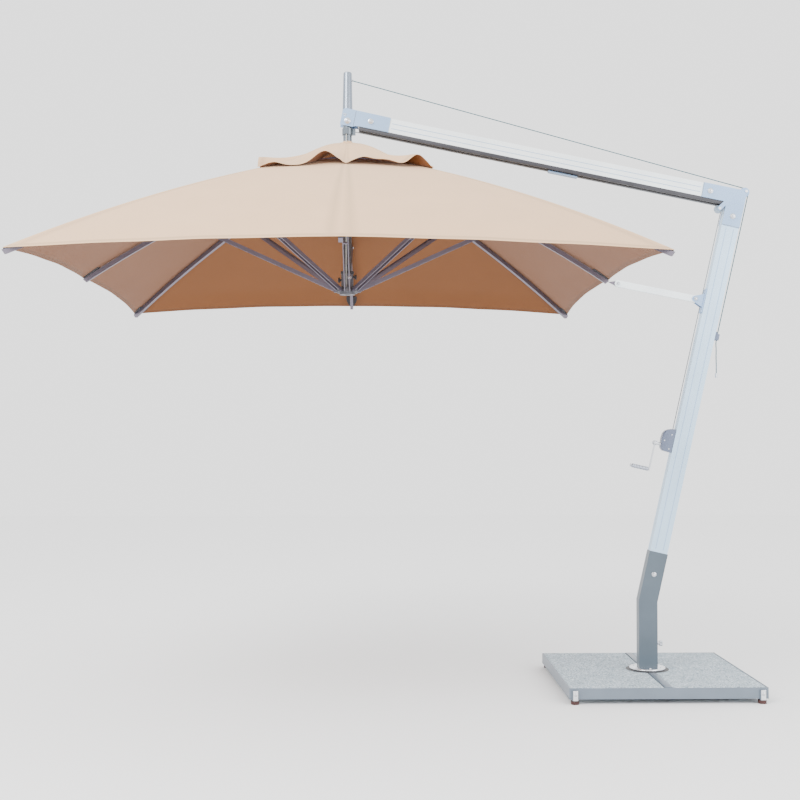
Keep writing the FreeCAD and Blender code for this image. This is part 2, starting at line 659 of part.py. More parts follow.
def makeHangerPole():
    """Pole with the welded fairlead that turns the cable down towards the lower hub."""
    pole = ring("PoleTube", hangerX, size("poleFootLevel"), size("poleHeadFootLevel") + 60,
                "Sizes.poleRadius", "Sizes.poleRadius - Sizes.poleWall")
    low = cableEnd.z - fairleadHeight / 2
    block = ring("FairleadRing", hangerX, low, low + fairleadHeight, "31", "Sizes.poleRadius - 1")
    tab = box("FairleadTab", (hangerX - 14, -43.5, low), "16", "19", str(fairleadHeight))
    snout = box("FairleadSnout", (hangerX + 26, -8, low), "20", "16", str(fairleadHeight))
    hole = cylinder("TrunnionHoles", (hangerX, -40, pivot.z), (0, 1, 0), "Sizes.trunnionRadius + 0.05", "80")
    addPart(cut("HangerPole", fuse("PoleWithFairlead", [pole, block, snout, tab]), hole), "hanger_pole")


def makePoleHead():
    """Tapered head that sleeves the pole's top and anchors the tilt rope."""
    body = doc.addObject("PartDesign::Body", "PoleHead")
    sketch = sketchOn(body, "HeadProfile", "XZ_Plane")
    low = size("poleHeadFootLevel")
    high = size("poleTopLevel")
    bore = size("poleRadius") + running
    topInside = size("poleHeadTopRadius") - 3
    drawLoop(sketch, [(bore, low), (size("poleHeadRadius"), low), (size("poleHeadTopRadius"), high - 8),
                      ("arc", size("poleHeadTopRadius") - 2.5, high - 2.5),
                      (size("poleHeadTopRadius") - 8, high), (0, high), (0, high - 6),
                      (topInside, high - 6), (topInside, low + 61), (bore, low + 61)])
    turn = body.newObject("PartDesign::Revolution", "HeadTurn")
    turn.Profile = sketch
    turn.ReferenceAxis = (sketch, ["V_Axis"])
    turn.Angle = 360
    body.Placement = Placement(Vector(hangerX, 0, 0), Rotation())
    addPart(body, "pole_head")


hinge = size("hingeRadius")


def azimuthPlacement(azimuth):
    return Placement(Vector(hangerX, 0, 0), Rotation(Vector(0, 0, 1), azimuth))


def localBox(name, azimuth, low, high):
    """A box given in the frame of one rib: x outward from the pole, y across."""
    obj = doc.addObject("Part::Box", name)
    bind(obj, Length=str(high[0] - low[0]), Width=str(high[1] - low[1]), Height=str(high[2] - low[2]))
    obj.Placement = azimuthPlacement(azimuth).multiply(Placement(Vector(*low), Rotation()))
    return obj


def localCylinder(name, azimuth, start, radius, length):
    """A cylinder along local Y in the frame of one rib."""
    obj = bind(doc.addObject("Part::Cylinder", name), Radius=radius, Height=str(length))
    stand = Placement(Vector(*start), Rotation(Vector(0, 0, 1), Vector(0, 1, 0)))
    obj.Placement = azimuthPlacement(azimuth).multiply(stand)
    return obj


azimuths = [45 * k for k in range(8)]
crown = size("crownLevel")


def makeCrown():
    """Crown casting on the pole: a ring with a pair of ears and a pin for each rib."""
    pieces = [ring("CrownRing", hangerX, crown - 20, crown + 20, "42", "Sizes.poleRadius + 0.05")]
    for azimuth in azimuths:
        for y in (-15.5, 11.5):
            pieces.append(localBox("CrownEar", azimuth, (38, y, crown - 13), (hinge + 12, y + 4, crown + 13)))
        pieces.append(localCylinder("CrownPin", azimuth, (hinge, -13, crown), "Sizes.ribPinRadius", 26))
    notch = cylinder("CableNotch", (hangerX - 6, -38.5, crown - 30), (0, 0, 1), "4", "60")
    addPart(cut("CrownHub", fuse("CrownCasting", pieces), notch), "crown_hub")


hub = size("lowerHubLevel")


def makeLowerHub():
    """Telescopic tube with the toothed lower hub on its foot; the hub cups the pole's end."""
    stem = ring("InnerTube", hangerX, hub - 8, size("innerTubeTopLevel"), "Sizes.innerTubeRadius",
                "Sizes.innerTubeRadius - Sizes.innerTubeWall")
    cup = ring("HubCup", hangerX, hub, hub + 105, "35", "Sizes.poleRadius + 0.8")
    floor = ring("HubFloor", hangerX, hub - 12, hub + 8, "44", "Sizes.innerTubeRadius - 1")
    disc = ring("HubDisc", hangerX, hub - 2, hub + 20, "46", "Sizes.poleRadius + 0.8")
    pieces = [stem, cup, floor, disc]
    for azimuth in azimuths:
        pieces.append(localBox("HubTooth", azimuth, (40, -9, hub + 1), (hinge + 14, 9, hub + 25)))
    addPart(fuse("LowerHub", pieces), "lower_hub")


makeHangerPole()
makePoleHead()
makeCrown()
makeLowerHub()


# ---------------------------------------------------------------- ribs, struts and canopy panels
halfSide = size("canopySide") / 2
clothLift = 7.5
strutLevel = hub + 13


def ribCurve(corner):
    """Top edge of a rib as three (r, z) points: above the crown pin, the bowed middle, the tip."""
    tipRadius = halfSide * (math.sqrt(2) if corner else 1)
    tipLevel = size("cornerTipLevel") if corner else size("midTipLevel")
    start = Vector(hinge, 0, crown + size("ribHeight") / 2)
    end = Vector(tipRadius, 0, tipLevel)
    chord = end - start
    normal = Vector(-chord.z, 0, chord.x).normalize()
    return start, start + chord / 2 + normal * size("ribBow"), end


def pointOnRib(corner, radius, drop=0):
    """A point on a rib's top edge at a horizontal radius, or a distance below it."""
    start, middle, end = ribCurve(corner)
    bow = size("ribBow")
    bowRadius = ((end - start).Length ** 2 / 4 + bow ** 2) / (2 * bow)
    outward = (middle - (start + end) / 2).normalize()
    centre = middle - outward * bowRadius
    level = centre.z + math.sqrt(bowRadius ** 2 - (radius - centre.x) ** 2)
    point = Vector(radius, 0, level)
    return point + (centre - point).normalize() * drop


def makeRib(azimuth):
    corner = azimuth % 90 == 45
    name = "Rib%03d" % azimuth
    start, middle, end = ribCurve(corner)
    height = size("ribHeight")
    lowMiddle = pointOnRib(corner, middle.x, height)
    lowEnd = pointOnRib(corner, end.x - 6, height)
    half = height / 2
    outline = flat([start]) + [("arc", middle.x, middle.z)] + flat([end]) + flat([lowEnd])
    outline += [("arc", lowMiddle.x, lowMiddle.z), (hinge, crown - half), ("arc", hinge - half, crown)]
    strutHole = pointOnRib(corner, size("strutReachCorner" if corner else "strutReachMid"), half)
    pin = size("ribPinRadius") + running
    holes = [(hinge, crown, pin), (strutHole.x, strutHole.z, pin)]
    body = plate(name, outline, "Sizes.ribWidth", holes)
    if azimuth == 0:
        gusset = makeGusset(end)
        body = fuse("Rib000WithGusset", [body, gusset])
    body.Placement = azimuthPlacement(azimuth)
    addPart(body, "rib_%03d" % azimuth)


def makeGusset(tip):
    """Plate on the mast-side rib that the stay arm's fork straddles."""
    eye = Vector(stayPin.x - hangerX, 0, stayPin.z)
    outline = [(tip.x - 120, pointOnRib(False, tip.x - 120, 12).z), (tip.x - 4, tip.z - 6),
               (eye.x + 2, eye.z + 17), ("arc", eye.x + 17, eye.z - 2), (eye.x - 4, eye.z - 17),
               (tip.x - 120, pointOnRib(False, tip.x - 120, 30).z)]
    return plate("StayGusset", outline, "8")


def makeStrut(azimuth):
    """Twin flat bars that straddle the rib, joined by the pin on which they turn."""
    corner = azimuth % 90 == 45
    name = "Strut%03d" % azimuth
    reach = size("strutReachCorner" if corner else "strutReachMid")
    top = pointOnRib(corner, reach, size("ribHeight") / 2)
    foot = Vector(hinge, 0, strutLevel)
    run = (foot - top).normalize()
    across = Vector(-run.z, 0, run.x)
    half = size("strutBarHeight") / 2
    headTip = top - run * half
    footTip = foot + run * half
    outline = flat([top + across * half]) + [("arc", headTip.x, headTip.z)] + flat([top - across * half])
    outline += flat([foot - across * half]) + [("arc", footTip.x, footTip.z)] + flat([foot + across * half])
    offset = size("ribWidth") / 2 + 1.5 + size("strutBarThickness") / 2
    bars = [plate(name + side, outline, "Sizes.strutBarThickness", (), y)
            for side, y in (("Left", offset), ("Right", -offset))]
    pin = cylinder(name + "Pin", (top.x, -offset - 4, top.z), (0, 1, 0), "Sizes.ribPinRadius",
                   str(2 * offset + 8))
    tie = top + (foot - top) * 0.5
    spacer = cylinder(name + "Spacer", (tie.x, -offset, tie.z), (0, 1, 0), "6", str(2 * offset))
    knobs = [cylinder(name + "Knob", (foot.x, y, foot.z), (0, 1, 0), "6", "3")
             for y in (-offset - 5, offset + 2)]
    strut = fuse(name, bars + [pin, spacer] + knobs)
    strut.Placement = azimuthPlacement(azimuth)
    addPart(strut, "strut_%03d" % azimuth)


def clothPoint(azimuth, share, across, lift):
    """A point of the cloth: share 0..1 from the pole to the edge, across 0 at a mid rib, 1 at a corner."""
    side = halfSide * share
    mid = pointOnRib(False, max(side, hinge), 0)
    edge = pointOnRib(True, max(side * math.sqrt(2), hinge), 0)
    level = mid.z * (1 - across) + edge.z * across + lift
    sag = size("edgeSag") * 4 * across * (1 - across) * max(0, share - 0.9) / 0.1
    return Vector(side - sag, side * across, level)


def wedge(rows, thickness):
    """Closed solid under rows of (left, right) points, of one thickness."""
    drop = Vector(0, 0, -thickness)
    faces = []

    def facet(a, b, c):
        faces.append(Part.Face(Part.makePolygon([a, b, c, a])))

    for (a, b), (c, d) in zip(rows, rows[1:]):
        facet(a, b, d)
        facet(a, d, c)
        facet(a + drop, d + drop, b + drop)
        facet(a + drop, c + drop, d + drop)
        for p, q in ((a, c), (b, d)):
            facet(p, q, q + drop)
            facet(p, q + drop, p + drop)
    for a, b in (rows[0], rows[-1]):
        facet(a, b, b + drop)
        facet(a, b + drop, a + drop)
    shell = Part.makeShell(faces)
    shell.sewShape()
    solid = Part.makeSolid(Part.Shell(shell.Faces))
    return solid if solid.Volume > 0 else solid.reversed()


def makePanel(azimuth, side):
    """Half a gore: from a rib to the middle of the gore, with its share of the vent cap above."""
    corner = azimuth % 90 == 45
    nearRib = 1 - 0.0025 if corner else 0.0025
    middle = 0.5 + (0.0015 if corner else -0.0015)
    ventShare = size("ventHalfSide") / halfSide
    shares = [ventShare + (1 - ventShare) * k / 4 for k in range(5)]
    thickness = size("clothThickness")
    lift = clothLift + thickness
    rows = [(clothPoint(azimuth, s, nearRib, lift), clothPoint(azimuth, s, middle, lift)) for s in shares]
    capShare = size("capHalfSide") / halfSide
    capRows = []
    for s, raised, level in ((0.034, 0, size("capTopLevel")), (capShare, size("capLift"), None)):
        row = []
        for across, extra in ((nearRib, 12), (middle, 12 + raised)):
            point = clothPoint(azimuth, s, across, lift + extra)
            row.append(Vector(point.x, point.y, level) if level else point)
        capRows.append(tuple(row))
    solids = [wedge(rows, thickness), wedge(capRows, thickness)]
    if corner:
        turn = Placement(Vector(), Rotation(Vector(0, 0, 1), -45))
        solids = [s.transformGeometry(turn.toMatrix()) for s in solids]
    towards = 1 if not corner else -1
    if side != towards:
        mirror = FreeCAD.Matrix()
        mirror.scale(1, -1, 1)
        solids = [s.transformGeometry(mirror) for s in solids]
    obj = doc.addObject("Part::Feature", "Panel%03d%s" % (azimuth, "a" if side > 0 else "b"))
    obj.Shape = Part.makeCompound(solids)
    obj.Placement = azimuthPlacement(azimuth)
    addPart(obj, "canopy_%03d_%s" % (azimuth, "left" if side > 0 else "right"))


for azimuth in azimuths:
    makeRib(azimuth)
    makeStrut(azimuth)
    for side in (1, -1):
        makePanel(azimuth, side)


# ---------------------------------------------------------------- ropes
def makeRopeCleat():
    """Cleat on the mast's outer face: a base with two jaws that pinch the tilt rope."""
    middle = size("cleatAlong")
    face = size("mastWidth") / 2
    outline = [mastPoint(middle - 28, face + 0.3), mastPoint(middle + 28, face + 0.3),
               mastPoint(middle + 24, face + 11), mastPoint(middle - 24, face + 11)]
    base = plate("CleatBase", flat(outline), "34")
    jaws = []
    for k, y in enumerate((-11, 11)):
        jaw = [mastPoint(middle - 20, face + 10), mastPoint(middle + 20, face + 10),
               mastPoint(middle + 14, face + 28), mastPoint(middle - 20, face + 28)]
        jaws.append(plate("CleatJaw%d" % k, flat(jaw), "11", (), y))
    addPart(fuse("RopeCleat", [base] + jaws), "rope_cleat")


def makeTiltRope():
    """From the pole's head over the rear pulley and down to the cleat."""
    start = Vector(hangerX + size("poleHeadTopRadius") + 2.6, 0, size("poleTopLevel") - 48)
    radius = size("rearPulleyRadius")
    down = mastPoint(size("cleatAlong"), rearAxleOut + radius)
    offset = rearAxle - start
    reach = offset.Length
    angle = math.atan2(offset.z, offset.x) + math.asin(radius / reach)
    direction = Vector(math.cos(angle), 0, math.sin(angle))
    corner = intersect(start, direction, rearAxle + outOfMast * radius, alongMast * -1)
    roundedRope("TiltRope", "tilt_rope", [start, corner, down], size("ropeRadius"), [radius])


def makeRopeTail():
    """The free end that hangs below the cleat, with its toggle."""
    outward = rearAxleOut + size("rearPulleyRadius")
    top = mastPoint(size("cleatAlong"), outward)
    low = mastPoint(size("cleatAlong") - 30, outward)
    points = [top, low, low + Vector(2, -2, -44), low + Vector(1, 0, -88), low + Vector(3, 2, -136),
              low + Vector(2, 1, -180)]
    roundedRope("RopeTail", "rope_tail", points, size("ropeRadius"))
    end = points[-1]
    toggle = fuse("Toggle", [
        cylinder("ToggleBody", (end.x, end.y, end.z - 26), (0, 0, 1), "7.5", "24"),
        cylinder("ToggleNeck", (end.x, end.y, end.z - 3), (0, 0, 1), "5", "3")])
    addPart(toggle, "rope_toggle")


def makeWinchCable():
    """From the drum up the mast's inner face, over the inner pulley and along under the boom."""
    start = winchPoint(drumAlong, cableOut)
    corner = intersect(start, alongMast, cableUnder, alongBoom)
    roundedRope("WinchCable", "winch_cable", [start, corner, cableEnd], size("cableRadius"),
                [size("innerPulleyRadius")])


def makeDamper():
    """Spring damper threaded on the cable under the boom."""
    low = boomPoint(-1090, -size("boomHeight") / 2 - cableDrop)
    damper = cylinder("Damper", tuple(low), tuple(alongBoom), "10", "170")
    bore = cylinder("DamperBore", tuple(low - alongBoom), tuple(alongBoom), "2.6", "172")
    addPart(cut("CableDamper", damper, bore), "cable_damper")


def makeHubCable():
    """From the fairlead down the pole's front to the lower hub."""
    low = hub + 26
    length = cableEnd.z - fairleadHeight / 2 - low
    obj = cylinder("HubCable", (hangerX - 6, -38.5, low), (0, 0, 1), "Sizes.cableRadius", str(length))
    addPart(obj, "hub_cable")


makeRopeCleat()
makeTiltRope()
makeRopeTail()
makeWinchCable()
makeDamper()
makeHubCable()


# ---------------------------------------------------------------- checks and files
doc.recompute()
for obj in doc.Objects:
    if "Invalid" in obj.State or "Error" in obj.State:
        raise RuntimeError("%s is in state %s" % (obj.Label, obj.State))
    if obj.TypeId == "PartDesign::Pocket" and obj.Shape.Volume > obj.BaseFeature.Shape.Volume - 100:
        raise RuntimeError("%s cuts nothing" % obj.Label)
os.makedirs("parts", exist_ok=True)
for obj in parts:
    shape = obj.Shape
    if shape.isNull() or not shape.isValid() or shape.Volume <= 0:
        raise RuntimeError("%s has a bad shape" % obj.Label)
for obj in parts:
    obj.Shape.exportStep("parts/%s.step" % obj.Label)
print(len(parts), "parts")
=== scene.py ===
import math
import random

import bpy
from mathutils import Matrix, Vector


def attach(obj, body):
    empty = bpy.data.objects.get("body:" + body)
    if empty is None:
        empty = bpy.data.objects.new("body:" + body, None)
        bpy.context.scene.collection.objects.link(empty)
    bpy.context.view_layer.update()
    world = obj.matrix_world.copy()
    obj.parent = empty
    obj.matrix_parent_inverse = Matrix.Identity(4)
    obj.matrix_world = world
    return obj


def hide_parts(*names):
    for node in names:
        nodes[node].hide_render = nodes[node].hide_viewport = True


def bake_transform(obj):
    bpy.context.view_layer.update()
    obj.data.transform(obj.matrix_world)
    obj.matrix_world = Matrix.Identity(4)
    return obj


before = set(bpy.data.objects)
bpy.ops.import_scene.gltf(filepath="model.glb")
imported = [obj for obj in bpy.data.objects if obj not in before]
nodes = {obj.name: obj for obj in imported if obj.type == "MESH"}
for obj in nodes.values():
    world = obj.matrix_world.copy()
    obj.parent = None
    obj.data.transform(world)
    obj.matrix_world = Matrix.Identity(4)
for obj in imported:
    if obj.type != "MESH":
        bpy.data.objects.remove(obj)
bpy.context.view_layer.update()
rng = random.Random(7)

# +X runs from the canopy towards the back of the mast, y = 0 is the plane of the mast and boom
poleX = -1.708
lean = math.radians(12.8)  # of the mast
slope = math.radians(11.3)  # of the boom
bendPoint = Vector((0, 0, 0.474))
elbow = Vector((2.311 * math.tan(lean), 0, 2.785))
alongMast = Vector((math.sin(lean), 0, math.cos(lean)))
outOfMast = Vector((math.cos(lean), 0, -math.sin(lean)))
alongBoom = Vector((math.cos(slope), 0, -math.sin(slope)))
aboveBoom = Vector((math.sin(slope), 0, math.cos(slope)))
upright = Vector((0, 0, 1))


def mastPoint(along, outward, y=0.0):
    return elbow + alongMast * along + outOfMast * outward + Vector((0, y, 0))


def boomPoint(along, above, y=0.0):
    return elbow + alongBoom * along + aboveBoom * above + Vector((0, y, 0))


# place along the boom that is a given distance out from the pole
def alongFromPole(out):
    return (poleX + out - elbow.x) / math.cos(slope)


# unit vectors along a rib and square to it
def ribDirections(azimuth):
    angle = math.radians(azimuth)
    return Vector((math.cos(angle), math.sin(angle), 0)), Vector((-math.sin(angle), math.cos(angle), 0))


# the (row, column) places round the edge of a grid, in order
def gridBorder(rows, columns):
    border = [(0, c) for c in range(columns)] + [(r, columns - 1) for r in range(1, rows)]
    return border + [(rows - 1, c) for c in range(columns - 2, -1, -1)] + [(r, 0) for r in range(rows - 2, 0, -1)]


def newMaterial(name, colour, metal=0.0, rough=0.5):
    material = bpy.data.materials.new(name)
    material.use_nodes = True
    shader = material.node_tree.nodes["Principled BSDF"]
    shader.inputs["Base Color"].default_value = (*colour, 1)
    shader.inputs["Metallic"].default_value = metal
    shader.inputs["Roughness"].default_value = rough
    return material, material.node_tree, shader


# noise on object coordinates, pulled out along an axis by stretch
def noiseNode(tree, scale, detail=3.0, stretch=None):
    place = tree.nodes.new("ShaderNodeTexCoord")
    mapping = tree.nodes.new("ShaderNodeMapping")
    if stretch:
        mapping.inputs["Scale"].default_value = stretch
    noise = tree.nodes.new("ShaderNodeTexNoise")
    noise.inputs["Scale"].default_value = scale
    noise.inputs["Detail"].default_value = detail
    tree.links.new(place.outputs["Object"], mapping.inputs["Vector"])
    tree.links.new(mapping.outputs["Vector"], noise.inputs["Vector"])
    return noise


def ramp(tree, source, stops):
    node = tree.nodes.new("ShaderNodeValToRGB")
    tree.links.new(source, node.inputs["Fac"])
    elements = node.color_ramp.elements
    while len(elements) < len(stops):
        elements.new(0.5)
    for element, (place, colour) in zip(elements, stops):
        element.position = place
        element.color = (*colour, 1)
    return node


def addBump(tree, shader, source, strength, distance, previous=None):
    bump = tree.nodes.new("ShaderNodeBump")
    bump.inputs["Strength"].default_value = strength
    bump.inputs["Distance"].default_value = distance
    tree.links.new(source, bump.inputs["Height"])
    if previous:
        tree.links.new(previous.outputs["Normal"], bump.inputs["Normal"])
    tree.links.new(bump.outputs["Normal"], shader.inputs["Normal"])
    return bump


def tint(colour, factor):
    return tuple(min(1.0, c * factor) for c in colour)


# drawn aluminium or steel: fine lines along one axis, faint cloudy tarnish
def brushedMetal(name, colour, rough=0.34, metal=0.75, stretch=(1, 1, 0.02), grain=900.0, spread=0.06):
    material, tree, shader = newMaterial(name, colour, metal, rough)
    lines = noiseNode(tree, grain, 2.0, stretch)
    clouds = noiseNode(tree, 3.5, 4.0)
    shade = ramp(tree, clouds.outputs["Fac"], [(0.3, tint(colour, 1 - spread)), (0.7, tint(colour, 1 + spread))])
    tree.links.new(shade.outputs["Color"], shader.inputs["Base Color"])
    worn = ramp(tree, lines.outputs["Fac"], [(0.25, (rough - 0.07,) * 3), (0.75, (rough + 0.1,) * 3)])
    tree.links.new(worn.outputs["Color"], shader.inputs["Roughness"])
    addBump(tree, shader, lines.outputs["Fac"], 0.12, 0.0004)
    return material


# powder coat: orange-peel bump, slightly dusty patches
def paintedMetal(name, colour, rough=0.42):
    material, tree, shader = newMaterial(name, colour, 0.15, rough)
    peel = noiseNode(tree, 420, 2.0)
    dust = noiseNode(tree, 6, 5.0)
    shade = ramp(tree, dust.outputs["Fac"], [(0.3, tint(colour, 0.9)), (0.72, tint(colour, 1.08))])
    tree.links.new(shade.outputs["Color"], shader.inputs["Base Color"])
    shader.inputs["Coat Weight"].default_value = 0.15
    addBump(tree, shader, peel.outputs["Fac"], 0.15, 0.0005)
    return material


def plasticMaterial(name, colour, rough=0.5):
    material, tree, shader = newMaterial(name, colour, 0.0, rough)
    spark = noiseNode(tree, 700, 2.0)
    scuff = noiseNode(tree, 14, 5.0)
    shade = ramp(tree, scuff.outputs["Fac"], [(0.35, tint(colour, 0.85)), (0.7, tint(colour, 1.25))])
    tree.links.new(shade.outputs["Color"], shader.inputs["Base Color"])
    addBump(tree, shader, spark.outputs["Fac"], 0.25, 0.0004)
    return material


# woven polyester: a fine plain weave, faint slubs, stitch rows along the hem from the piece's own data
def clothMaterial(name, colour, paintedGlow=0.0):
    material, tree, shader = newMaterial(name, colour, 0.0, 0.86)
    place = tree.nodes.new("ShaderNodeTexCoord")
    waves = []
    for axis in ("X", "Y"):
        wave = tree.nodes.new("ShaderNodeTexWave")
        wave.bands_direction = axis
        wave.inputs["Scale"].default_value = 260
        tree.links.new(place.outputs["Object"], wave.inputs["Vector"])
        waves.append(wave)
    weave = tree.nodes.new("ShaderNodeMath")
    weave.operation = "MAXIMUM"
    tree.links.new(waves[0].outputs["Fac"], weave.inputs[0])
    tree.links.new(waves[1].outputs["Fac"], weave.inputs[1])
    slub = noiseNode(tree, 5, 6.0)
    shade = ramp(tree, slub.outputs["Fac"], [(0.25, tint(colour, 0.965)), (0.75, tint(colour, 1.02))])
    seam = tree.nodes.new("ShaderNodeAttribute")
    seam.attribute_name = "stitch"
    mixed = tree.nodes.new("ShaderNodeMix")
    mixed.data_type = "RGBA"
    tree.links.new(seam.outputs["Fac"], mixed.inputs["Factor"])
    tree.links.new(shade.outputs["Color"], mixed.inputs[6])
    mixed.inputs[7].default_value = (*tint(colour, 0.8), 1)
    tree.links.new(mixed.outputs[2], shader.inputs["Base Color"])
    first = addBump(tree, shader, weave.outputs["Value"], 0.18, 0.0006)
    addBump(tree, shader, seam.outputs["Fac"], 0.5, 0.001, first)
    shader.inputs["Sheen Weight"].default_value = 0.12
    shader.inputs["Sheen Roughness"].default_value = 0.5
    # painted glow: the underside emits its own colour, painted light shining through the cloth
    if paintedGlow:
        shader.inputs["Emission Color"].default_value = (*colour, 1)
        shader.inputs["Emission Strength"].default_value = paintedGlow
    return material


# exposed aggregate: light and dark chips in a grey binder
def concreteMaterial(name):
    material, tree, shader = newMaterial(name, (0.5, 0.52, 0.53), 0.0, 0.9)
    place = tree.nodes.new("ShaderNodeTexCoord")
    chips = tree.nodes.new("ShaderNodeTexVoronoi")
    chips.inputs["Scale"].default_value = 190
    tree.links.new(place.outputs["Object"], chips.inputs["Vector"])
    separate = tree.nodes.new("ShaderNodeSeparateColor")
    tree.links.new(chips.outputs["Color"], separate.inputs["Color"])
    speck = ramp(tree, separate.outputs["Red"], [(0.0, (0.13, 0.17, 0.2)), (0.22, (0.3, 0.38, 0.44)),
                                                 (0.6, (0.42, 0.51, 0.58)), (0.88, (0.7, 0.76, 0.79))])
    cloud = noiseNode(tree, 9, 5.0)
    stain = ramp(tree, cloud.outputs["Fac"], [(0.3, (0.86, 0.87, 0.88)), (0.7, (1, 1, 1))])
    mixed = tree.nodes.new("ShaderNodeMix")
    mixed.data_type = "RGBA"
    mixed.blend_type = "MULTIPLY"
    mixed.inputs["Factor"].default_value = 1
    tree.links.new(speck.outputs["Color"], mixed.inputs[6])
    tree.links.new(stain.outputs["Color"], mixed.inputs[7])
    tree.links.new(mixed.outputs[2], shader.inputs["Base Color"])
    addBump(tree, shader, chips.outputs["Distance"], 0.5, 0.0015)
    return material


def ropeMaterial(name, colour):
    material, tree, shader = newMaterial(name, colour, 0.0, 0.8)
    fibre = noiseNode(tree, 1500, 2.0, (1, 1, 0.3))
    shade = ramp(tree, fibre.outputs["Fac"], [(0.3, tint(colour, 0.6)), (0.7, tint(colour, 1.3))])
    tree.links.new(shade.outputs["Color"], shader.inputs["Base Color"])
    addBump(tree, shader, fibre.outputs["Fac"], 0.4, 0.0004)
    return material


metals = {
    "tube": brushedMetal("drawnAluminium", (0.5, 0.68, 0.86), 0.36, 0.4),
    "boom": brushedMetal("drawnAluminiumBoom", (0.86, 0.93, 0.98), 0.4, 0.3, (0.02, 1, 1)),
    "plate": brushedMetal("pressedPlate", (0.3, 0.44, 0.66), 0.4, 0.35, (0.05, 1, 1)),
    "pole": brushedMetal("anodisedPole", (0.17, 0.2, 0.23), 0.26, 0.8),
    "head": brushedMetal("polishedHead", (0.26, 0.3, 0.36), 0.24, 0.9),
    "rib": brushedMetal("anodisedRib", (0.17, 0.15, 0.19), 0.4, 0.55, (1, 1, 1), 500),
    "hub": brushedMetal("castHub", (0.13, 0.13, 0.15), 0.5, 0.5, (1, 1, 1), 300),
    "bolt": brushedMetal("platedSteel", (0.62, 0.64, 0.68), 0.24, 0.95, (1, 1, 1), 400),
    "rim": brushedMetal("turnedRim", (0.8, 0.82, 0.86), 0.16, 1.0, (1, 1, 0.05), 500),
    "sleeve": paintedMetal("coatedSleeve", (0.085, 0.115, 0.145)),
    "frame": paintedMetal("coatedFrame", (0.15, 0.185, 0.23)),
    "winch": paintedMetal("coatedWinch", (0.13, 0.16, 0.24), 0.36),
    "dark": plasticMaterial("darkPlastic", (0.035, 0.035, 0.04)),
    # near-black insert under the boom: a cable channel, and partly painted shade of the boom's underside
    "channelAndPaintedShade": plasticMaterial("channelInsertAndPaintedShade", (0.028, 0.028, 0.036), 0.45),
    "wheel": plasticMaterial("pulleyNylon", (0.3, 0.38, 0.47), 0.4),
    "grip": brushedMetal("gripSteel", (0.4, 0.43, 0.5), 0.3, 0.8, (1, 1, 1), 500),
    "pad": plasticMaterial("padRubber", (0.06, 0.022, 0.02), 0.75),
    "concrete": concreteMaterial("aggregateConcrete"),
    "top": clothMaterial("canopyTop", (0.7, 0.46, 0.27)),
    # underside of the same cloth as the top: darker brown as painted shade, with a painted glow of light through
    # it
    "under": clothMaterial("canopyUndersidePaintedShadeAndGlow", (0.15, 0.046, 0.004), 0.16),
    "pocket": clothMaterial("tipPocketCloth", (0.018, 0.016, 0.02)),
    "rope": ropeMaterial("tealRope", (0.006, 0.1, 0.14)),
    "wire": brushedMetal("wireStrand", (0.22, 0.25, 0.28), 0.35, 0.9, (1, 1, 1), 900),
    "cord": ropeMaterial("paleCord", (0.55, 0.55, 0.52)),
}
print("materials made")


def makeObject(name, vertices, faces, materials, materialOf=None):
    mesh = bpy.data.meshes.new(name)
    mesh.from_pydata([tuple(v) for v in vertices], [], faces)
    for material in materials:
        mesh.materials.append(material)
    if materialOf:
        for polygon, index in zip(mesh.polygons, materialOf):
            polygon.material_index = index
    mesh.polygons.foreach_set("use_smooth", [True] * len(mesh.polygons))
    mesh.update()
    obj = bpy.data.objects.new(name, mesh)
    bpy.context.scene.collection.objects.link(obj)
    return obj


# two unit vectors square to a direction
def frameAlong(direction):
    direction = direction.normalized()
    helper = Vector((0, 1, 0)) if abs(direction.y) < 0.9 else Vector((1, 0, 0))
    side = direction.cross(helper).normalized()
    return side, direction.cross(side).normalized()


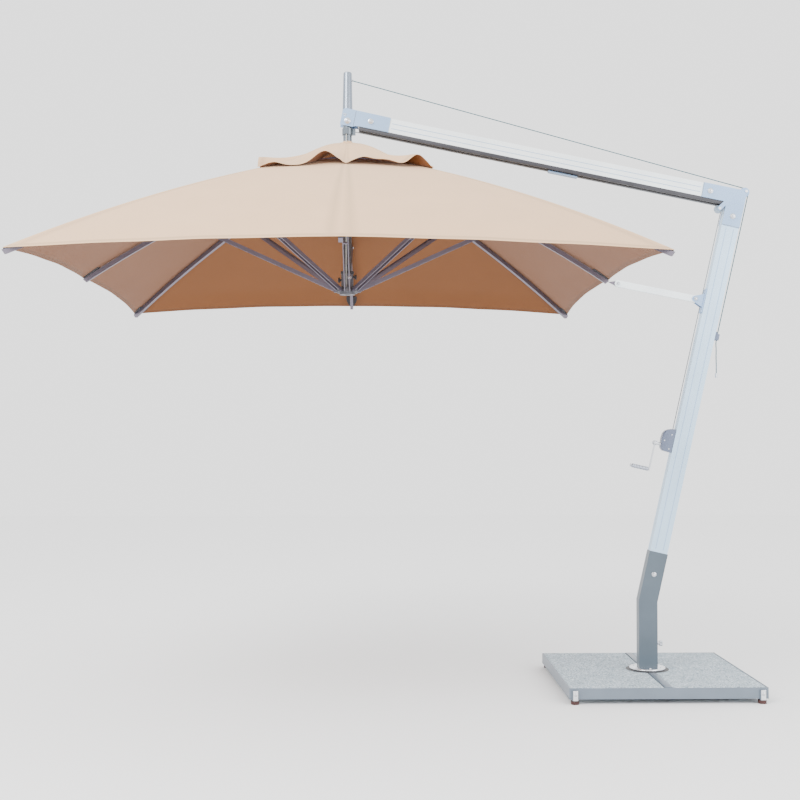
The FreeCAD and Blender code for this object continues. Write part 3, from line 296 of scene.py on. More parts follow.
# collects several closed solids into one mesh
class Shape:

    def __init__(self):
        self.vertices = []
        self.faces = []
        self.kinds = []

    def add(self, vertices, faces, kind=0):
        base = len(self.vertices)
        self.vertices += [Vector(v) for v in vertices]
        self.faces += [tuple(base + i for i in f) for f in faces]
        self.kinds += [kind] * len(faces)

    # a turned solid: profile is (radius, distance along) pairs; ends close on the axis
    def turned(self, start, direction, profile, sides=24, kind=0, twist=None):
        side, up = frameAlong(direction)
        direction = direction.normalized()
        vertices = []
        for radius, along in profile:
            for k in range(sides):
                angle = 2 * math.pi * k / sides
                r = radius * (twist(angle, along) if twist else 1)
                point = start + direction * along + side * (r * math.cos(angle))
                vertices.append(point + up * (r * math.sin(angle)))
        faces = []
        for row in range(len(profile) - 1):
            for k in range(sides):
                a = row * sides + k
                b = row * sides + (k + 1) % sides
                faces.append((a, b, b + sides, a + sides))
        faces.append(tuple(reversed(range(sides))))
        last = (len(profile) - 1) * sides
        faces.append(tuple(last + k for k in range(sides)))
        self.add(vertices, faces, kind)

    # chamfered hexagon head on a washer with a rolled edge
    def hexHead(self, centre, direction, radius, height, kind=0):
        washer = radius * 1.25
        rolled = [(washer * 0.97, 0), (washer, 0.0006), (washer, 0.0018), (washer * 0.94, 0.0024)]
        self.turned(centre, direction, rolled, 28, kind)
        flat = [(radius, 0.0022), (radius, height - 0.0016), (radius * 0.86, height)]
        self.turned(centre, direction, flat, 6, kind)
        self.turned(centre, direction, [(radius * 0.6, height - 0.001), (radius * 0.55, height + 0.0012),
                                        (radius * 0.3, height + 0.002)], 20, kind)

    # a bar of rectangular section along a path of points; side and up are half-size vectors
    def strip(self, path, side, up, kind=0):
        vertices = []
        for p in path:
            vertices += [p - side - up, p + side - up, p + side + up, p - side + up]
        faces = []
        for row in range(len(path) - 1):
            a = row * 4
            for k in range(4):
                faces.append((a + k, a + (k + 1) % 4, a + 4 + (k + 1) % 4, a + 4 + k))
        faces.append((3, 2, 1, 0))
        last = (len(path) - 1) * 4
        faces.append((last, last + 1, last + 2, last + 3))
        self.add(vertices, faces, kind)

    def build(self, name, materials, bevel=0.0):
        obj = makeObject(name, self.vertices, self.faces, materials, self.kinds)
        if bevel:
            applyBevel(obj, bevel)
        sharpen(obj)
        return obj


def applyModifiers(obj):
    graph = bpy.context.evaluated_depsgraph_get()
    mesh = bpy.data.meshes.new_from_object(obj.evaluated_get(graph))
    obj.modifiers.clear()
    obj.data = mesh


def applyBevel(obj, width, segments=2, angle=35):
    bevel = obj.modifiers.new("soften", "BEVEL")
    bevel.width = width
    bevel.segments = segments
    bevel.limit_method = "ANGLE"
    bevel.angle_limit = math.radians(angle)
    bpy.context.view_layer.update()
    applyModifiers(obj)


# smooth faces with sharp edges kept where the surface turns hard
def sharpen(obj, angle=40):
    mesh = obj.data
    mesh.polygons.foreach_set("use_smooth", [True] * len(mesh.polygons))
    mesh.set_sharp_from_angle(angle=math.radians(angle))


def paint(nodeName, material):
    obj = nodes[nodeName]
    obj.data.materials.clear()
    obj.data.materials.append(material)
    sharpen(obj, 32)


nodePaint = {
    "base_frame": "frame", "foot_pads": "pad", "mast_foot": "sleeve", "mast_tube": "tube", "boom_tube": "boom",
    "joint_plates": "plate", "frame_bolts": "bolt", "cable_drum": "bolt", "crank": "bolt",
    "rope_cleat": "winch", "rope_toggle": "bolt", "cable_damper": "plate", "lock_knob": "bolt",
    "rear_pulley": "plate", "inner_pulley": "wheel", "stay_trolley": "plate", "stay_arm": "boom",
    "hanger_pole": "pole", "pole_head": "head", "crown_hub": "hub", "lower_hub": "hub",
}
for nodeName, key in nodePaint.items():
    paint(nodeName, metals[key])
azimuths = [45 * k for k in range(8)]
for azimuth in azimuths:
    paint("rib_%03d" % azimuth, metals["rib"])
    paint("strut_%03d" % azimuth, metals["rib"])
print("CAD nodes painted")

canopy = {
    "half": 1.5, "midTip": 2.3, "cornerTip": 2.244, "crown": 2.99, "hinge": 0.062, "ribHeight": 0.025,
    "bow": 0.055, "lift": 0.0095, "thickness": 0.0018, "arch": 0.013, "vent": 0.18, "rows": 44, "columns": 16,
    "edgeSag": 0.024, "sagFrom": 0.9, "sagOver": 0.1, "ripple": 0.0012, "rippleWaves": 6, "rippleDepth": 0.09,
    "hem": 0.028, "hemSteps": (0.8, 0.6, 0.35, 0.12, 0), "hemStitches": (0.006, 0.024),
    "bendRadius": 0.8, "bendLevel": 2.6, "bendGap": 0.004, "clothReach": 0.16, "capReach": 0.07,
    "seamAllowance": 0.02,
}
cap = {"inner": 0.034, "outer": 0.47 / 1.5, "top": 3.076, "clear": 0.012, "rows": 18, "tied": 0.06,
       "rest": 0.004}


# height of a rib's top edge at a horizontal radius: an arc from the crown pin to the tip
def ribLevel(corner, radius):
    tipRadius = canopy["half"] * (math.sqrt(2) if corner else 1)
    tipLevel = canopy["cornerTip"] if corner else canopy["midTip"]
    x0, z0 = canopy["hinge"], canopy["crown"] + canopy["ribHeight"] / 2
    dx, dz = tipRadius - x0, tipLevel - z0
    chord = math.hypot(dx, dz)
    bow = canopy["bow"]
    bowRadius = (chord ** 2 / 4 + bow ** 2) / (2 * bow)
    nx, nz = -dz / chord, dx / chord
    cx = (x0 + tipRadius) / 2 + nx * (bow - bowRadius)
    cz = (z0 + tipLevel) / 2 + nz * (bow - bowRadius)
    return cz + math.sqrt(bowRadius ** 2 - (radius - cx) ** 2)


# a point of the cloth in the frame of a middle rib: across 0 on that rib, 1 on a corner rib
def clothPoint(share, across):
    side = canopy["half"] * share
    mid = ribLevel(False, max(side, canopy["hinge"]))
    edge = ribLevel(True, max(side * math.sqrt(2), canopy["hinge"]))
    bulge = 4 * across * (1 - across)
    level = mid * (1 - across) + edge * across + canopy["lift"]
    level += canopy["arch"] * bulge * share ** 3
    fade = math.exp(-((1 - share) / canopy["rippleDepth"]) ** 2)
    ripple = math.sin(across * math.pi * canopy["rippleWaves"]) * fade * bulge
    level += canopy["ripple"] * ripple
    sag = canopy["edgeSag"] * bulge * max(0.0, share - canopy["sagFrom"]) / canopy["sagOver"]
    return Vector((side - sag, side * across, level))


def smoothstep(t):
    t = min(1.0, max(0.0, t))
    return t * t * (3 - 2 * t)


# how far the vent cap's edge stands off the canopy along each gore, from the middle rib to the corner
ventWaves = {
    -1: [(0.24, 0.16, 0.07), (0.82, 0.12, 0.022)],  # (place, half width, height)
    1: [(0.2, 0.14, 0.036), (0.46, 0.17, 0.03), (0.82, 0.12, 0.066)],
}


def ventLift(across, hand):
    rise = sum(h * math.exp(-((across - c) / w) ** 2) for c, w, h in ventWaves[hand])
    return rise * smoothstep(across / cap["tied"]) * smoothstep((1 - across) / cap["tied"]) + cap["rest"]


# a point of the vent cap: step 0 at the pole, 1 at the cap's free edge
def capPoint(step, across, hand):
    share = cap["inner"] + (cap["outer"] - cap["inner"]) * step
    base = clothPoint(share, across)
    edge = clothPoint(cap["outer"], across)
    foot = edge.z + cap["clear"] * 0.4
    fall = 0.5 * step + 0.5 * smoothstep(step * 1.15)
    level = cap["top"] + (foot - cap["top"]) * fall
    level += ventLift(across, hand) * smoothstep((step - 0.25) / 0.75)
    return Vector((base.x, base.y, max(level, base.z + cap["clear"] * 0.5)))


# from the frame of a middle rib, on its left or right hand, to the umbrella's own frame
def toWorld(point, middleAzimuth, hand):
    angle = math.radians(middleAzimuth)
    y = point.y * hand
    return Vector((poleX + point.x * math.cos(angle) - y * math.sin(angle),
                   point.x * math.sin(angle) + y * math.cos(angle), point.z))


# closed thin sheet from a grid of points: top beige, underside a darker brown with painted shade and a painted
# glow, stitch rows kept as data
def clothSheet(name, grid, outward, seams, thickness):
    rows, columns = len(grid), len(grid[0])
    vertices = [p for row in grid for p in row]
    vertices += [p - Vector((0, 0, thickness)) for row in grid for p in row]
    count = rows * columns
    faces = []
    kinds = []
    for r in range(rows - 1):
        for c in range(columns - 1):
            a = r * columns + c
            quad = (a, a + 1, a + columns + 1, a + columns)
            if outward < 0:
                quad = tuple(reversed(quad))
            faces.append(quad)
            kinds.append(0)
            faces.append(tuple(count + i for i in reversed(quad)))
            kinds.append(1)
    border = gridBorder(rows, columns)
    for (r0, c0), (r1, c1) in zip(border, border[1:] + border[:1]):
        a, b = r0 * columns + c0, r1 * columns + c1
        quad = (b, a, a + count, b + count)
        if outward < 0:
            quad = tuple(reversed(quad))
        faces.append(quad)
        kinds.append(0)
    obj = makeObject(name, vertices, faces, [metals["top"], metals["under"]], kinds)
    stitch = obj.data.attributes.new("stitch", "FLOAT", "POINT")
    stitch.data.foreach_set("value", seams + seams)
    sharpen(obj, 60)
    return obj


# rows close together at the hem, where the stitching is
def shareSteps(start, rows):
    hemShare = canopy["hem"] / canopy["half"]
    plain = rows - len(canopy["hemSteps"])
    steps = [start + (1 - hemShare - start) * k / (plain - 1) for k in range(plain)]
    return steps + [1 - hemShare * f for f in canopy["hemSteps"]]


# the cloth from one rib to the middle of the gore, and its share of the vent cap
def halfGore(azimuth, side):
    corner = azimuth % 90 == 45
    middleAzimuth = azimuth if not corner else azimuth + 45 * side
    hand = side if not corner else -side
    edges = (0.0, 0.5) if not corner else (1.0, 0.5)
    label = "%03d_%s" % (azimuth, "left" if side > 0 else "right")
    across = [edges[0] + (edges[1] - edges[0]) * c / canopy["columns"] for c in range(canopy["columns"] + 1)]
    shares = shareSteps(canopy["vent"], canopy["rows"])
    grid = [[toWorld(clothPoint(s, a), middleAzimuth, hand) for a in across] for s in shares]
    seams = []
    for s in shares:
        for c, a in enumerate(across):
            fromEdge = (1 - s) * canopy["half"]
            inHem = canopy["hemStitches"][0] < fromEdge < canopy["hemStitches"][1]
            seams.append(1.0 if inHem else (0.8 if c == 1 else 0.0))
    outward = hand if not corner else -hand
    sheetPiece = clothSheet("canopyCloth_" + label, grid, outward, seams, canopy["thickness"])
    capGrid = [[toWorld(capPoint(k / cap["rows"], a, hand), middleAzimuth, hand) for a in across]
               for k in range(cap["rows"] + 1)]
    capSeams = [(0.9 if k == cap["rows"] - 1 else (0.7 if c == 1 else 0.0))
                for k in range(cap["rows"] + 1) for c in range(len(across))]
    capPiece = clothSheet("ventCap_" + label, capGrid, outward, capSeams, canopy["thickness"])
    along, sideways = ribDirections(azimuth)
    sideways = sideways * side
    for piece, reach in ((sheetPiece, canopy["clothReach"]), (capPiece, canopy["capReach"])):
        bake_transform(piece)
    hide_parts("canopy_" + label)


for azimuth in azimuths:
    for side in (1, -1):
        halfGore(azimuth, side)
print("canopy made")

tipPocket = {"length": 0.088, "wide": 0.036, "narrow": 0.013, "thickness": 0.0035, "gap": 0.0006,
             "rows": 10, "columns": 8, "fromTip": 0.004, "taper": 0.62, "cornerInset": 0.45}


# height of the cloth's underside near a rib, at a radius and a distance to its side
def liningLevel(corner, radius, aside):
    if corner:
        mainward, sideward = (radius + aside) / math.sqrt(2), (radius - aside) / math.sqrt(2)
    else:
        mainward, sideward = radius, aside
    share = min(1.0, mainward / canopy["half"])
    return clothPoint(share, min(1.0, sideward / mainward)).z - canopy["thickness"]


# black patch sewn under the cloth over the end of a rib
def makeTipPocket(azimuth):
    corner = azimuth % 90 == 45
    tipRadius = canopy["half"] * (math.sqrt(2) if corner else 1) - tipPocket["fromTip"]
    along, across = ribDirections(azimuth)
    rows, columns = tipPocket["rows"], tipPocket["columns"]
    top = []
    for r in range(rows + 1):
        t = r / rows
        swell = math.sin(math.pi * tipPocket["taper"] * t)
        half = tipPocket["narrow"] + (tipPocket["wide"] - tipPocket["narrow"]) * swell
        for c in range(columns + 1):
            y = half * (2 * c / columns - 1)
            inset = tipPocket["cornerInset"] * abs(y) if corner else 0.0
            radius = tipRadius - inset - tipPocket["length"] * t
            level = liningLevel(corner, radius, abs(y)) - tipPocket["gap"]
            top.append(Vector((poleX, 0, level)) + along * radius + across * y)
    low = [p - Vector((0, 0, tipPocket["thickness"])) for p in top]
    wide = columns + 1
    count = len(top)
    faces = []
    for r in range(rows):
        for c in range(columns):
            a = r * wide + c
            faces.append((a, a + wide, a + wide + 1, a + 1))
            faces.append((count + a, count + a + 1, count + a + wide + 1, count + a + wide))
    border = [r * wide + c for r, c in gridBorder(rows + 1, wide)]
    for a, b in zip(border, border[1:] + border[:1]):
        faces.append((a, b, count + b, count + a))
    shape = Shape()
    shape.add(top + low, faces)
    pocket = shape.build("tipPocket_%03d" % azimuth, [metals["pocket"]])
    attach(pocket, "rib_body_%03d" % azimuth)


for azimuth in azimuths:
    makeTipPocket(azimuth)

rivet = {"radius": 0.92, "levelAt": 0.925, "drop": 0.0125, "aside": 0.0165,
         "profile": [(0.0085, 0), (0.0085, 0.0015), (0.006, 0.0016), (0.0055, 0.004), (0.003, 0.0055)]}


# rivets and washers where the strut turns on the rib
def makeRibRivets(azimuth):
    corner = azimuth % 90 == 45
    along, across = ribDirections(azimuth)
    level = ribLevel(corner, rivet["levelAt"]) - rivet["drop"]
    centre = Vector((poleX, 0, 0)) + along * rivet["radius"] + Vector((0, 0, level))
    shape = Shape()
    for hand in (1, -1):
        shape.turned(centre + across * hand * rivet["aside"], across * hand, rivet["profile"], 18)
    rivets = shape.build("strutRivets_%03d" % azimuth, [metals["bolt"]])
    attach(rivets, "strut_body_%03d" % azimuth)


for azimuth in azimuths:
    makeRibRivets(azimuth)
print("rib fittings made")

slab = {"side": 0.5, "low": 0.037, "thickness": 0.05, "gapX": 0.021, "gapY": 0.0035, "cells": 44,
        "rough": 0.0011, "pitBias": 0.8, "edge": 0.004, "worn": 0.006, "below": 0.0002,
        "chips": 6, "chipWidths": (0.01, 0.03), "chipRim": 0.008, "chipDepth": 0.0015}


# four concrete slabs with worn edges and a pitted top
def makeSlabs():
    shape = Shape()
    cells = slab["cells"]
    top = slab["low"] + slab["thickness"]
    for hx in (-1, 1):
        for hy in (-1, 1):
            x0 = slab["gapX"] if hx > 0 else -slab["gapX"] - slab["side"]
            y0 = slab["gapY"] if hy > 0 else -slab["gapY"] - slab["side"]
            chips = [(rng.uniform(0, 1), rng.choice((0, 1)), rng.uniform(*slab["chipWidths"]))
                     for _ in range(slab["chips"])]
            vertices = []
            steps = [0, 0.004, 0.012] + [0.02 + 0.96 * k / cells for k in range(cells + 1)] + [0.988, 0.996, 1]
            n = len(steps)
            for u in steps:
                for v in steps:
                    rim = min(u, 1 - u, v, 1 - v) * slab["side"]
                    fall = slab["edge"] * (1 - smoothstep(rim / slab["worn"]))
                    for place, edge, width in chips:
                        along = u if edge else v
                        if abs(along - place) < width and rim < slab["chipRim"]:
                            fall += slab["chipDepth"]
                    pit = slab["rough"] * (rng.random() - slab["pitBias"])
                    level = top - fall + pit - slab["below"]
                    vertices.append((x0 + u * slab["side"], y0 + v * slab["side"], level))
            base = len(vertices)
            faces = [(i * n + j, (i + 1) * n + j, (i + 1) * n + j + 1, i * n + j + 1)
                     for i in range(n - 1) for j in range(n - 1)]
            ring = [(i, j) for j, i in gridBorder(n, n)]
            for i, j in ring:
                vertices.append((x0 + steps[i] * slab["side"], y0 + steps[j] * slab["side"], slab["low"]))
            count = len(ring)
            for k in range(count):
                a, b = ring[k], ring[(k + 1) % count]
                faces.append((base + k, base + (k + 1) % count, b[0] * n + b[1], a[0] * n + a[1]))
            faces.append(tuple(base + k for k in reversed(range(count))))
            shape.add(vertices, faces)
    slabs = shape.build("pavingSlabs", [metals["concrete"]])
    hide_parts("paving_slabs")
    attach(slabs, "base")


makeSlabs()

flange = {"radius": 0.096, "low": 0.0875, "top": 0.0995, "rimOut": 0.0075, "rimHalf": 0.0068,
          "bolts": 6, "boltCircle": 0.08, "boltSize": 0.0055}


# turned rim round the swivel flange, a dark ring of painted shade round its foot, and its small bolts
def makeFlangeTrim():
    rim = Shape()
    profile = []
    for k in range(17):
        turn = math.pi * k / 16
        profile.append((flange["radius"] - 0.002 + flange["rimOut"] * math.sin(turn),
                        flange["low"] + 0.0065 - flange["rimHalf"] * math.cos(turn)))
    rim.turned(Vector((0, 0, 0)), upright, profile, 72)
    for k in range(flange["bolts"]):
        turn = math.pi / 6 + math.pi / 3 * k
        circle = flange["boltCircle"]
        place = Vector((circle * math.cos(turn), circle * math.sin(turn), flange["top"] - 0.0008))
        rim.hexHead(place, upright, flange["boltSize"], flange["boltSize"])
    trim = rim.build("flangeRim", [metals["rim"]])
    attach(trim, "base")
    # thin dark disc showing as a ring round the flange: painted shade on the frame
    paintedShadeRing = Shape()
    paintedShadeRing.turned(Vector((0, 0, 0.0866)), upright,
                  [(0.118, 0), (0.121, 0.0006), (0.121, 0.0016), (0.117, 0.0022)], 64)
    ringPiece = paintedShadeRing.build("flangePaintedShadeRing", [metals["dark"]])
    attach(ringPiece, "base")


makeFlangeTrim()

strap = {"x": 0.497, "y": 0.5185, "levels": (0.021, 0.03, 0.05, 0.066, 0.074), "half": 0.013, "thick": 0.0052,
         "boltLevel": 0.052, "bevel": 0.0012,
         "bolt": [(0.009, 0), (0.009, 0.0035), (0.0075, 0.005), (0.004, 0.0055)]}
spineCover = {"level": 0.0868, "half": 0.0185, "thick": 0.0012, "hole": 0.108, "middle": 0.2, "reach": 0.503}


# corner straps over the pads, the spine's cover strip and the frame's corner bolts
def makeBaseTrim():
    shape = Shape()
    for hx in (-1, 1):
        for hy in (-1, 1):
            x = hx * strap["x"]
            y = hy * strap["y"]
            path = [Vector((x, y, z)) for z in strap["levels"]]
            shape.strip(path, Vector((strap["half"], 0, 0)), Vector((0, strap["thick"], 0)))
            boltFoot = Vector((x, y + hy * 0.004, strap["boltLevel"]))
            shape.turned(boltFoot, Vector((0, hy, 0)), strap["bolt"], 20, 1)
    reach, middle, hole = spineCover["reach"], spineCover["middle"], spineCover["hole"]
    wide, thick = Vector((spineCover["half"], 0, 0)), Vector((0, 0, spineCover["thick"]))
    for places in ((-reach, -middle, -hole), (hole, reach)):
        shape.strip([Vector((0, y, spineCover["level"])) for y in places], wide, thick, 2)
    trim = shape.build("baseTrim", [metals["rim"], metals["bolt"], metals["frame"]], strap["bevel"])
    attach(trim, "base")


makeBaseTrim()
print("base made")

trimSizes = {"grooveWidth": 0.003, "grooveHeight": 0.0007, "channelDrop": 0.021, "channelEnd": -0.07,
             "channelBevel": 0.001, "face": 0.03, "boomBottom": -0.04,
             "mastBeads": (-2.07, -1.5, -0.9, -0.19), "boomBeads": (-2.02, -1.4, -0.8, -0.212)}


# extruded beads along the mast and boom, and the boom's dark cable channel with a dark strip over its underside,
# partly painted shade
def makeTubeTrim():
    beads = Shape()
    for y in (-trimSizes["face"], trimSizes["face"]):
        for outward in (-0.022, 0.022):
            path = [mastPoint(a, outward, y) for a in trimSizes["mastBeads"]]
            beads.strip(path, outOfMast * trimSizes["grooveWidth"] / 2, Vector((0, trimSizes["grooveHeight"], 0)))
        for above in (0.012, -0.016):
            path = [boomPoint(a, above, y) for a in trimSizes["boomBeads"]]
            beads.strip(path, aboveBoom * trimSizes["grooveWidth"] / 2, Vector((0, trimSizes["grooveHeight"], 0)))
    trim = beads.build("tubeBeads", [metals["plate"]])
    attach(trim, "mast")
    # dark channel walls under the boom, and a flat dark strip over the boom's underside that is painted shade
    channelAndPaintedShade = Shape()
    bottom = trimSizes["boomBottom"]
    low = bottom - trimSizes["channelDrop"]
    for y in (-0.0215, 0.0215):
        path = [boomPoint(a, (low + bottom) / 2, y) for a in (-2.2, -1.3, -0.7, trimSizes["channelEnd"])]
        channelAndPaintedShade.strip(path, Vector((0, 0.0085, 0)), aboveBoom * (trimSizes["channelDrop"] / 2 + 0.0003))
    channelAndPaintedShade.strip([boomPoint(a, -0.0412, 0) for a in (-2.2, -1.1, trimSizes["channelEnd"])],
                  Vector((0, 0.0225, 0)), aboveBoom * 0.0012)
    piece = channelAndPaintedShade.build("boomChannelAndPaintedShade", [metals["channelAndPaintedShade"]], trimSizes["channelBevel"])
    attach(piece, "mast")


makeTubeTrim()

jointBolt = {"radius": 0.0128, "height": 0.0113, "face": 0.0344, "bracketOut": 0.133, "pivotLevel": 3.207,
             "trunnion": [(0.0175, 0), (0.018, 0.001), (0.018, 0.0035), (0.0155, 0.0045), (0.0153, 0.0105),
                          (0.012, 0.0135), (0.0105, 0.0137), (0.009, 0.0155), (0.004, 0.0165)],
             "rivet": [(0.0042, 0), (0.0042, 0.0012), (0.003, 0.0026), (0.001, 0.003)],
             "rivetPlaces": ((-0.007, 0.052), (0.003, 0.05), (-0.002, 0.041))}


# hexagon heads, washers and nuts over the joint bolts, axles and trunnions
def makeBoltHeads():
    shape = Shape()
    bracketBolt = boomPoint(alongFromPole(jointBolt["bracketOut"]), 0)
    sizes = (jointBolt["radius"], jointBolt["height"], jointBolt["face"])
    spots = [(boomPoint(-0.157, 0), *sizes), (mastPoint(-0.118, 0), *sizes), (bracketBolt, *sizes),
             (bendPoint + alongMast * 0.155, 0.0105, 0.0088, 0.0332)]
    for centre, radius, height, face in spots:
        for hand in (-1, 1):
            shape.hexHead(centre + Vector((0, hand * face, 0)), Vector((0, hand, 0)), radius, height)
    pivot = Vector((poleX, 0, jointBolt["pivotLevel"]))
    for hand in (-1, 1):
        outward = Vector((0, hand, 0))
        shape.turned(pivot + Vector((0, hand * jointBolt["face"], 0)), outward, jointBolt["trunnion"], 32)
        for dx, dz in jointBolt["rivetPlaces"]:
            place = pivot + Vector((dx - 0.012, hand * 0.0342, dz - 0.012))
            shape.turned(place, outward, jointBolt["rivet"], 14)
    heads = shape.build("boltHeads", [metals["bolt"]])
    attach(heads, "mast")


makeBoltHeads()

plateSeam = {"face": 0.0346, "half": 0.0012, "proud": 0.0007}


# folded seam and rolled edges on the cheek plates and elbow plates
def makePlateSeams():
    shape = Shape()
    for hand in (-1, 1):
        y = hand * plateSeam["face"]
        proud = Vector((0, plateSeam["proud"], 0))
        seam = [boomPoint(alongFromPole(0.042), h, y) for h in (-0.046, 0.0, 0.041)]
        lower = [boomPoint(alongFromPole(out), -0.0415, y) for out in (0.07, 0.14, 0.236)]
        elbowEdge = [boomPoint(-0.2, h, y) for h in (-0.04, 0.0, 0.04)]
        mastEdge = [mastPoint(-0.175, o, y) for o in (-0.05, 0.0, 0.05)]
        edges = ((seam, alongBoom), (lower, aboveBoom), (elbowEdge, alongBoom), (mastEdge, alongMast))
        for path, direction in edges:
            shape.strip(path, direction * plateSeam["half"], proud)
    seams = shape.build("plateSeams", [metals["head"]])
    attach(seams, "mast")


makePlateSeams()

winch = {"along": -1.452, "half": 0.027, "face": 0.05, "shaft": -0.03, "crankOut": 0.096, "crankArm": 0.155}


def winchPoint(along, outward, y=0.0):
    return mastPoint(winch["along"] + along, -winch["face"] - outward, y)


# rounded teardrop cover of the winch, moulded in one piece, with its shaft bushing
def makeWinchCover():
    outline = [(-0.067, 0.0006), (-0.0665, 0.030), (-0.064, 0.052), (-0.050, 0.0655), (-0.022, 0.0705),
               (0.010, 0.0715), (0.034, 0.0685), (0.0515, 0.058), (0.062, 0.041), (0.0675, 0.022), (0.068, 0.0006)]
    vertices = []
    layers = [(-1, 0.9), (-0.86, 0.975), (-0.55, 1.0), (0, 1.0), (0.55, 1.0), (0.86, 0.975), (1, 0.9)]
    for y, grow in layers:
        for along, outward in outline:
            place = along * (0.96 + 0.04 * grow)
            vertices.append(winchPoint(place, max(0.0006, outward * grow), y * winch["half"]))
    n = len(outline)
    faces = []
    for layer in range(len(layers) - 1):
        for k in range(n):
            a = layer * n + k
            b = layer * n + (k + 1) % n
            faces.append((a, a + n, b + n, b))
    faces.append(tuple(range(n)))
    last = (len(layers) - 1) * n
    faces.append(tuple(last + k for k in reversed(range(n))))
    shape = Shape()
    shape.add(vertices, faces)
    direction = outOfMast * -1
    bushing = [(0.0135, 0), (0.0135, 0.006), (0.012, 0.0085), (0.0095, 0.009)]
    shape.turned(winchPoint(winch["shaft"], 0.0655), direction, bushing, 28, 1)
    for hand in (-1, 1):
        for along, outward in ((0.034, 0.02), (-0.048, 0.02), (-0.006, 0.055)):
            shape.turned(winchPoint(along, outward, hand * 0.0262), Vector((0, hand, 0)),
                         [(0.004, 0), (0.004, 0.0014), (0.0028, 0.0024), (0.001, 0.0026)], 14, 1)
    cover = shape.build("winchCover", [metals["winch"], metals["bolt"]])
    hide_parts("winch_housing")
    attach(cover, "mast")


makeWinchCover()

gripSizes = {"length": 0.098, "groove": 0.13, "pitch": 0.017, "fade": 0.006}


# grip with a spiral groove, turned on the crank's pin
def makeGripSleeve():
    direction = outOfMast * -1
    start = winchPoint(winch["shaft"], winch["crankOut"]) - alongMast * winch["crankArm"] + direction * 0.009
    length, fade = gripSizes["length"], gripSizes["fade"]
    profile = [(0.0085, 0), (0.0105, 0.0015)]
    profile += [(0.0116, 0.004 + 0.0885 * k / 60) for k in range(61)]
    profile += [(0.0104, 0.0955), (0.008, 0.0978)]

    def spiral(angle, along):
        inside = smoothstep((along - fade) / fade) * smoothstep((length - 0.008 - along) / fade)
        wave = 0.5 + 0.5 * math.cos(angle - along * 2 * math.pi / gripSizes["pitch"])
        return 1 - gripSizes["groove"] * inside * wave ** 3

    shape = Shape()
    shape.turned(start, direction, profile, 30, 0, spiral)
    grip = shape.build("gripSleeve", [metals["grip"]])
    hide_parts("crank_grip")
    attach(grip, "grip")


makeGripSleeve()


# boss cap and pin nut of the crank
def makeCrankTrim():
    direction = outOfMast * -1
    shape = Shape()
    shape.hexHead(winchPoint(winch["shaft"], 0.1075), direction, 0.0085, 0.006)
    tip = winchPoint(winch["shaft"], winch["crankOut"]) - alongMast * winch["crankArm"] + direction * 0.1125
    shape.turned(tip, direction, [(0.0088, 0), (0.0088, 0.002), (0.0065, 0.0035), (0.002, 0.0042)], 20)
    trim = shape.build("crankTrim", [metals["bolt"]])
    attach(trim, "crank_arm")


makeCrankTrim()

poleHead = {"clampLevel": 3.262, "eyeOut": 0.0235, "eyeLevel": 3.447, "eyeRadius": 0.0055, "eyeWire": 0.0016,
            "eyeTurns": 20, "eyeSides": 8, "ropeOut": 0.0266, "collarLevel": 3.070,
            "collar": [(0.066, 0), (0.069, 0.003), (0.062, 0.0085), (0.046, 0.0125), (0.034, 0.0155),
                       (0.0262, 0.0245)]}


# clamp collar under the pole head, the rope's eye and the vent collar
def makePoleTrim():
    shape = Shape()
    centre = Vector((poleX, 0, 0))
    shape.turned(centre + Vector((0, 0, poleHead["clampLevel"])), upright,
                 [(0.0292, 0), (0.0302, 0.0015), (0.0302, 0.0105), (0.0292, 0.012)], 40)
    eye = Vector((poleX + poleHead["eyeOut"], 0, poleHead["eyeLevel"]))
    ringRadius, wire = poleHead["eyeRadius"], poleHead["eyeWire"]
    turns, sides = poleHead["eyeTurns"], poleHead["eyeSides"]
    vertices = []
    for k in range(turns):
        a = 2 * math.pi * k / turns
        for j in range(sides):
            b = 2 * math.pi * j / sides
            r = ringRadius + wire * math.cos(b)
            vertices.append(eye + Vector((0.0035 + r * math.cos(a), wire * math.sin(b), r * math.sin(a))))
    faces = []
    for k in range(turns):
        here, ahead = k * sides, ((k + 1) % turns) * sides
        for j in range(sides):
            beside = (j + 1) % sides
            faces.append((here + j, ahead + j, ahead + beside, here + beside))
    shape.add(vertices, faces)
    trim = shape.build("poleHeadTrim", [metals["bolt"]])
    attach(trim, "hanger")
    collar = Shape()
    collar.turned(centre + Vector((0, 0, poleHead["collarLevel"])), upright, poleHead["collar"], 48)
    vent = collar.build("ventCollar", [metals["top"]])
    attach(vent, "hanger")


makePoleTrim()

hubSizes = {"bandLevel": 2.334, "knurls": 28, "knurlDepth": 0.018, "boltLevel": 2.312,
            "knobs": ((2.30, -1), (2.318, 1)), "lobes": 6, "lobeDepth": 0.09,
            "knob": [(0.006, 0), (0.006, 0.008), (0.0125, 0.0085), (0.0135, 0.0105), (0.0135, 0.017),
                     (0.012, 0.0195), (0.005, 0.0205)]}


